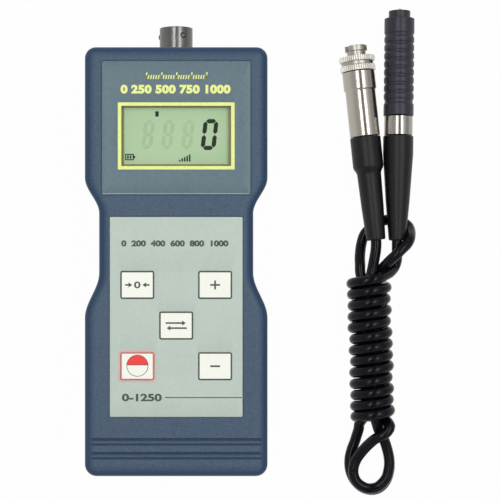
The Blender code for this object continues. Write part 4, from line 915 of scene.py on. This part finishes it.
def digit(lit, x, y, width, height, stroke, low, high):
    """A seven-segment digit that leans to the right, with narrow gaps between its segments."""
    half, gap, lean = stroke / 2, 0.13, math.tan(math.radians(6.5))
    left, right, foot, middle, head = half, width - half, half, height / 2, height - half
    bars = {"a": (left, head, right, head), "d": (left, foot, right, foot)}
    bars |= {"g": (left, middle, right, middle)}
    bars |= {"f": (left, middle, left, head), "e": (left, foot, left, middle)}
    bars |= {"b": (right, middle, right, head), "c": (right, foot, right, middle)}
    shapes = []
    for key in lit:
        start, end = Vector(bars[key][:2]), Vector(bars[key][2:])
        way = (end - start).normalized()
        side = Vector((-way.y, way.x)) * half
        start, end = start + way * gap, end - way * gap
        points = [start, start + way * half + side, end - way * half + side, end]
        points += [end - way * half - side, start + way * half - side]
        shapes.append(prism([(x + p.x + lean * p.y, y + p.y) for p in points], low, high))
    return together(*shapes)


def keycaps():
    """Five keys, each with its printed edge and sign, and a stem down to its switch."""
    low, high = KEY_TOP - 0.02, KEY_TOP + 0.03
    levels = [(-0.1, KEY_LOW), (0, KEY_LOW + 0.1), (0, KEY_TOP - 0.16), (-0.05, KEY_TOP - 0.04)]
    levels += [(-0.15, KEY_TOP), (-0.52, KEY_TOP)]
    for name, (x, y) in KEYS.items():
        cap = stacked(outline_of(x, y, *KEY_SHAPE), levels)
        for face in cap.faces:
            printed_edge = len(face.verts) == 4 and face.calc_center_median().z > KEY_TOP - 0.12
            face.material_index = 1 if printed_edge else 0
        stem = upright(x, y, 2.2, 27.3, KEY_LOW + 0.3)
        signs = []
        if name == "zero":
            signs.append((lettering("0", (x - 1.2, y - 1.3, x + 1.2, y + 1.3), low, high, 0.10), 2))
            for way in (-1, 1):
                signs += arrow(x + way * 4.6, x + way * 1.9, y, low, high)
        elif name == "unit":
            signs += arrow(x - 4.0, x + 3.6, y + 0.95, low, high)
            signs += arrow(x + 4.0, x - 3.6, y - 0.95, low, high)
        elif name == "power":
            signs += power_mark(x + 0.05, y + 0.2, low, high)
        else:
            signs.append((moved(tick(3.7, 0.66, low, high), shift(x, y)), 2))
        if name == "plus":
            signs.append((moved(tick(0.66, 3.4, low, high), shift(x, y, 0.004)), 2))
        inks = ["key", "olive_ink", "dark_ink"]
        if name == "power":
            inks = ["key", "red_line", "dark_ink", "red_ink", "maroon_ink", "grey_line"]
        whole = together(cap, (stem, 0), *signs)
        piece(f"{name}_cap", whole, inks, f"{name}_key", replaces=(f"key_{name}",))


def arrow(tail, point, y, low, high):
    """An arrow along X, printed in the third ink of its key."""
    way = math.copysign(1, point - tail)
    shaft = moved(tick(abs(point - tail) - 1.0, 0.62, low, high), shift((point + tail - way) / 2, y))
    flat = [(point, y), (point - way * 1.4, y + 0.95), (point - way * 1.4, y - 0.95)]
    return [(shaft, 2), (prism(flat, low, high + 0.004), 2)]


def power_mark(x, y, low, high):
    """A disc split level: red above with a dark edge, white below with a thin line round it."""
    steps = 30

    def arc(radius, start, end):
        turns = [math.radians(start + (end - start) * i / steps) for i in range(steps + 1)]
        return [(x + radius * math.cos(a), y + radius * math.sin(a)) for a in turns]

    upper = prism(arc(4.05, 4, 176), low, high - 0.01)
    rim = prism(arc(4.1, 0, 180) + arc(3.86, 180, 0), low, high)
    under = prism(arc(4.1, 180, 360) + arc(3.86, 360, 180), low, high)
    foot = moved(tick(7.9, 0.28, low, high), shift(x, y + 0.30, 0.004))
    return [(upper, 3), (rim, 4), (foot, 4), (under, 5)]


# Socket, probe and plug
def socket_parts():
    """The nickel socket with its three lock studs, and the black contact insert inside it."""
    section = [(5.2, 70.7), (6.35, 70.7), (6.35, 76.7), (8.1, 76.7), (8.1, 78.5), (6.35, 78.5)]
    shell = lathe(section + [(6.35, 89.9), (5.2, 89.9)], 96, 0.28)
    stud = [(0, 4.5), (0.62, 4.5), (0.62, 6.5), (0.66, 6.5), (0.66, 6.68), (0.45, 6.81), (0, 6.81)]
    ring = [(0.66, 6.20), (1.14, 6.20), (1.14, 6.46), (0.66, 6.46)]
    studs = []
    for degrees in (25, 145, 265):
        place = shift(0, 86.5, SOCKET_AXIS) @ spin(degrees, "Y")
        studs += [(moved(lathe(stud, 24, 0.06), place), 0), (moved(lathe(ring, 24, 0.04), place), 1)]
    whole = together((moved(shell, ALONG_SOCKET), 0), *studs)
    piece("socket_barrel", whole, ["steel", "insert"], replaces=("socket_shell",))
    body = lathe([(0, 70.7), (4.9, 70.7), (4.9, 80.5), (0, 80.5)], 64, 0.15)
    hole = moved(lathe([(0, 74), (0.65, 74), (0.65, 82), (0, 82)], 20, 0), shift(2.2, 0))
    block = moved(carved(body, [moved(around(hole, 4, "insert"), spin(45))]), ALONG_SOCKET)
    piece("socket_contacts", block, "insert", replaces=("socket_insert",))


def probe_parts():
    """The probe: tapered boot, nickel ring, ribbed grip, and its sprung sleeve and tip."""
    boot = [(0, 0.0), (3.1, 0.0), (3.35, 0.5), (4.7, 16.0), (5.86, 33.6), (5.875, 34.6), (5.875, 40.9)]
    boot = lathe(boot + [(3.7, 40.9), (3.7, 44.75), (0, 44.75)], 72, 0.3)
    piece("probe_sleeve_boot", boot, "rubber", "gauge", PROBE, ("probe_boot",))
    ring = lathe([(4.0, 41.2), (5.525, 41.2), (5.525, 48.6), (4.0, 48.6)], 96, 0.22)
    piece("probe_band", ring, "ring", "gauge", PROBE, ("probe_ring",))
    grip = [(0, 45.05), (3.7, 45.05), (3.7, 48.9), (5.85, 48.9), (5.85, 53.4), (5.47, 53.9), (5.47, 80.9)]
    grip += [(5.85, 81.45), (5.85, 87.15), (4.5, 87.15), (4.5, 85.15), (4.9, 85.15), (4.9, 60.75), (0, 60.75)]
    half = [(5.40, 1.36), (5.62, 1.22), (5.76, 0.92), (5.83, 0.52)]
    rib = [(reach, -away) for reach, away in half] + [(5.85, 0)] + half[::-1]
    ribs = repeated(moved(lathe(rib, 72, 0), shift(0, 0, 56.45)), 8, (0, 0, 3.2), 0.0, "grip")
    dimple = lathe([(0, 5.62), (0.42, 5.62), (0.5, 6.4), (0, 6.4)], 20, 0)
    body = carved(lathe(grip, 96, 0.3), [moved(dimple, shift(0.6, 0, 51.2) @ spin(90, "X"))])
    piece("probe_handle", together(body, ribs), "grip", "gauge", PROBE, ("probe_grip",))
    sleeve = [(1.3, 90.1), (1.3, 88.9), (3.0, 88.9), (3.0, 73.4), (4.2, 73.4), (4.2, 82.85), (4.6, 82.85)]
    sleeve = lathe(sleeve + [(4.6, 84.85), (4.2, 84.85), (4.2, 90.1)], 72, 0.3)
    piece("probe_sleeve", sleeve, "grip", "sensor", PROBE, ("sensor_sleeve",))
    tip = [(0, 84.34), (2.7, 84.34), (2.7, 88.6), (1.0, 88.6), (1.0, 90.84), (0.7, 91.24), (0, 91.34)]
    piece("probe_tip", lathe(tip, 48, 0.2), "tip", "sensor", PROBE, ("sensor_tip",))


def plug_parts():
    """The plug: long boot, stepped barrel, and the knurled coupling ring with its slotted nose."""
    boot = [(0, 0), (3.5, 0), (3.75, 0.5), (4.35, 13.0), (4.70, 26.2), (5.1, 27.2), (5.75, 28.2)]
    boot = lathe(boot + [(5.95, 29.0), (5.95, 40.5), (0, 40.5)], 72, 0.3)
    boot = piece("plug_sleeve_boot", boot, "rubber", "gauge", PLUG, ("plug_boot",))
    barrel = [(0, 40.8), (5.875, 40.8), (5.875, 58.8), (6.35, 59.2), (6.35, 66.2), (4.6, 66.2), (4.6, 69.2)]
    barrel = lathe(barrel + [(2.8, 69.2), (2.8, 59.0), (0, 59.0)], 96, 0.22)
    barrel = piece("plug_body", barrel, "barrel", "gauge", PLUG, ("plug_barrel",))
    ring = [(4.9, 66.5), (6.45, 66.5), (6.45, 68.7), (6.2, 68.8), (6.2, 70.1), (6.6, 70.2), (6.6, 72.2)]
    ring += [(3.6, 72.2), (3.6, 74.4), (4.3, 74.4), (4.3, 76.5), (2.8, 76.5), (2.8, 69.5), (4.9, 69.5)]
    notch = moved(slab((3.4, 5.0), (-1.1, 1.1), (73.9, 77.0)), spin(30))
    core = carved(lathe(ring, 96, 0.12), [around(notch, 3, "knurl")])
    rows = []
    for foot, head, reach in ((66.5, 68.7, 6.85), (70.2, 72.2, 7.0)):
        rings = []
        for height, drop in ((foot, 0.22), (foot + 0.14, 0.04), (head - 0.14, 0.04), (head, 0.22)):
            top, base = reach - drop, reach - 0.5
            tooth = [(base, -0.42), (top, -0.20), (top + 0.02, 0), (top, 0.20), (base, 0.42)]
            rings.append(level(tooth, height))
        rows.append((around(loft(rings), 48, "knurl"), 1))
    whole = together((core, 0), *rows)
    inks = ["nose", "knurl"]
    collar = piece("coupling_collar", whole, inks, "coupling", PLUG, ("coupling_ring",), 30)
    insert = lathe([(0, 59.3), (2.5, 59.3), (2.5, 74.9), (0, 74.9)], 48, 0.15)
    pin = lathe([(0, 74.4), (0.4, 74.4), (0.4, 75.9), (0.2, 76.1), (0, 76.1)], 16, 0.05)
    pins = moved(around(moved(pin, shift(1.5, 0)), 4, "tip"), spin(45))
    whole = together((insert, 0), (pins, 1))
    pins = piece("plug_contacts", whole, ["insert", "tip"], "gauge", PLUG, ("plug_insert",))
    return [boot, barrel, collar, pins]


# Screws, cells and inner pieces
def fasteners():
    """Four sunk screws with crossed recesses, seen from the back."""
    section = [(0, 3.4), (1.65, 3.4), (2.2, 4.0), (2.2, 5.2), (1.1, 5.2), (1.1, 21.9), (0, 23.0)]
    arm = [(-1.25, -0.24), (1.25, -0.24), (1.25, 0.24), (-1.25, 0.24)]
    slot = meshed(loft([level(arm, 3.2), level([(x * 0.45, y * 0.6) for x, y in arm], 4.5)]))
    screw = carved(lathe(section, 40, 0.15), [slot, moved(slot.copy(), spin(90))])
    pair = repeated(screw, 2, (2 * SCREW_COLUMN, 0, 0), 0.0, "screw")
    grid = repeated(pair, 2, (0, SCREW_ROWS[1] - SCREW_ROWS[0], 0), 0.0, "screw")
    names = [f"case_screw_{i}" for i in (1, 2, 3, 4)]
    place = shift(-SCREW_COLUMN, SCREW_ROWS[0])
    piece("screws", grid, "screw", place=place, replaces=names)


def batteries():
    """Four cells side by side, each with a plain metal sleeve, a dark band and a nub at one end."""
    body = [(0, -22.25), (4.3, -22.25), (4.9, -22.0), (5.25, -21.6), (5.25, 20.2), (4.9, 20.9), (4.0, 21.25)]
    cell = lathe(body + [(1.9, 21.25), (1.9, 22.25), (0, 22.25)], 56, 0.15)
    dark = lathe([(5.1, 8.0), (5.27, 8.0), (5.27, 20.0), (5.1, 20.0)], 56, 0.03)
    middle = (BAY[2] + BAY[3]) / 2
    lay = shift(0, -1.75) @ spin(90, "X")
    rows = []
    for number, (shape, key) in enumerate(((cell, "sleeve"), (dark, "sleeve_band"))):
        row = repeated(moved(shape, lay), 4, (10.9, 0, 0), math.pi, key)
        rows.append((moved(row, shift(-16.35, middle, CELL_AXIS)), number))
    names = [f"cell_{i}" for i in (1, 2, 3, 4)]
    piece("cells", together(*rows), ["sleeve", "sleeve_band"], replaces=names)


def inner_finishes():
    """Finishes for the solids of the frame that stay as they are."""
    kept = {"display_lens": "lens", "lcd_holder": "insert", "main_board": "board", "processor_chip": "chip"}
    kept |= {"sensor_spring": "spring"}
    kept |= {f"switch_{name}": "insert" for name in KEYS}
    kept |= {node: "spring" for node in frame["nodes"] if node.startswith("contact_")}
    for node, key in kept.items():
        data = frame["nodes"][node].data
        data.materials.clear()
        data.materials.append(FINISHES[key])


# Studio
def either(tree, first, second):
    """1 where one of two tests of a ray holds."""
    return add_node(tree, "ShaderNodeMath", {0: first, 1: second}, operation="MAXIMUM").outputs[0]


def pick(tree, part, first, second):
    """One shader where part is 0 and another where it is 1."""
    return add_node(tree, "ShaderNodeMixShader", {0: part, 1: first, 2: second}).outputs[0]


# What the metals mirror from left to right: (degrees from straight up, brightness)
MIRRORED = [(-90, 1.00), (-60, 0.74), (-33, 0.52), (-21, 0.95), (-10, 0.95), (-5, 0.03), (11, 0.03)]
MIRRORED += [(15, 0.95), (45, 0.90), (62, 0.55), (76, 0.50), (90, 0.90)]


def surroundings():
    """White to the camera, even soft light on the pieces, and light and dark bands in the metals."""
    world = bpy.data.worlds.new("studio")
    bpy.context.scene.world = world
    world.use_nodes = True
    tree = world.node_tree
    tree.nodes.clear()

    def background(colour):
        return add_node(tree, "ShaderNodeBackground", {"Color": colour}).outputs[0]

    path = add_node(tree, "ShaderNodeLightPath", {}).outputs
    place = add_node(tree, "ShaderNodeTexCoord", {}).outputs["Generated"]
    split = add_node(tree, "ShaderNodeSeparateXYZ", {0: place}).outputs
    angle = add_node(tree, "ShaderNodeMath", {0: split["X"], 1: split["Z"]}, operation="ARCTAN2").outputs[0]
    span = {"Value": angle, "From Min": -math.pi / 2, "From Max": math.pi / 2}
    ramp = add_node(tree, "ShaderNodeValToRGB", {0: add_node(tree, "ShaderNodeMapRange", span).outputs[0]})
    stops = ramp.color_ramp.elements
    stops.remove(stops[0])
    for i, (degrees, bright) in enumerate(MIRRORED):
        part = (degrees + 90) / 180
        stop = stops.new(part) if i else stops[0]
        stop.position, stop.color = part, (bright, bright, bright, 1)
    lit = pick(tree, path["Is Glossy Ray"], background((0.40, 0.40, 0.40)), background(ramp.outputs[0]))
    seen = either(tree, path["Is Camera Ray"], path["Is Transmission Ray"])
    add_node(tree, "ShaderNodeOutputWorld", {0: pick(tree, seen, lit, background((1.0, 1.0, 1.0)))})


def studio():
    """The surroundings, a pale floor that shows nearly white, and two long soft lamps overhead."""
    surroundings()
    floor = Finish("pale_floor")
    floor.set(linear(196, 196, 196), 0.7)
    tree = floor.tree
    path = add_node(tree, "ShaderNodeLightPath", {}).outputs
    seen = either(tree, path["Is Camera Ray"], path["Is Glossy Ray"])
    part = add_node(tree, "ShaderNodeMath", {0: seen, 1: 0.98}, operation="MULTIPLY").outputs[0]
    glow = add_node(tree, "ShaderNodeEmission", {}).outputs[0]
    shown = pick(tree, part, floor.shader.outputs[0], glow)
    tree.links.new(shown, tree.nodes["Material Output"].inputs["Surface"])
    floor_radius, floor_height = 2.6, -0.0002
    shape = bmesh.new()
    edge = level(ring_of(floor_radius, steps=64), floor_height)
    shape.faces.new([shape.verts.new(point) for point in edge])
    data = meshed(shape, "floor")
    data.materials.append(floor.material)
    working("floor", data)

    distance, middle, power = 1.1, 0.04, 3.8
    for name, degrees, width in (("left_lamp", -16, 0.18), ("right_lamp", 24, 0.22)):
        lamp = bpy.data.lights.new(name, "AREA")
        lamp.shape, lamp.size, lamp.size_y, lamp.energy = "RECTANGLE", width, 0.9, power
        made = working(name, lamp)
        angle = math.radians(degrees)
        made.location = (middle + distance * math.sin(angle), 0.2, distance * math.cos(angle))
        made.rotation_euler = (0, angle, 0)
    bpy.context.scene.view_settings.view_transform = "Standard"


def plain_reflections():
    """Keeps the gauge out of the bright metals beside it, which mirror the lamps, floor and each other."""
    gauge_side = 0.04
    for made in bpy.context.scene.objects:
        if made.type == "MESH" and max(corner[0] for corner in made.bound_box) < gauge_side:
            made.visible_glossy = False


camera()
LEAD = lead()
studio()
front_shell()
rear_shell()
battery_door()
face_labels()
face_print()
window_parts()
keycaps()
socket_parts()
probe_parts()
declare_lead(*LEAD, plug_parts())
fasteners()
batteries()
inner_finishes()
plain_reflections()
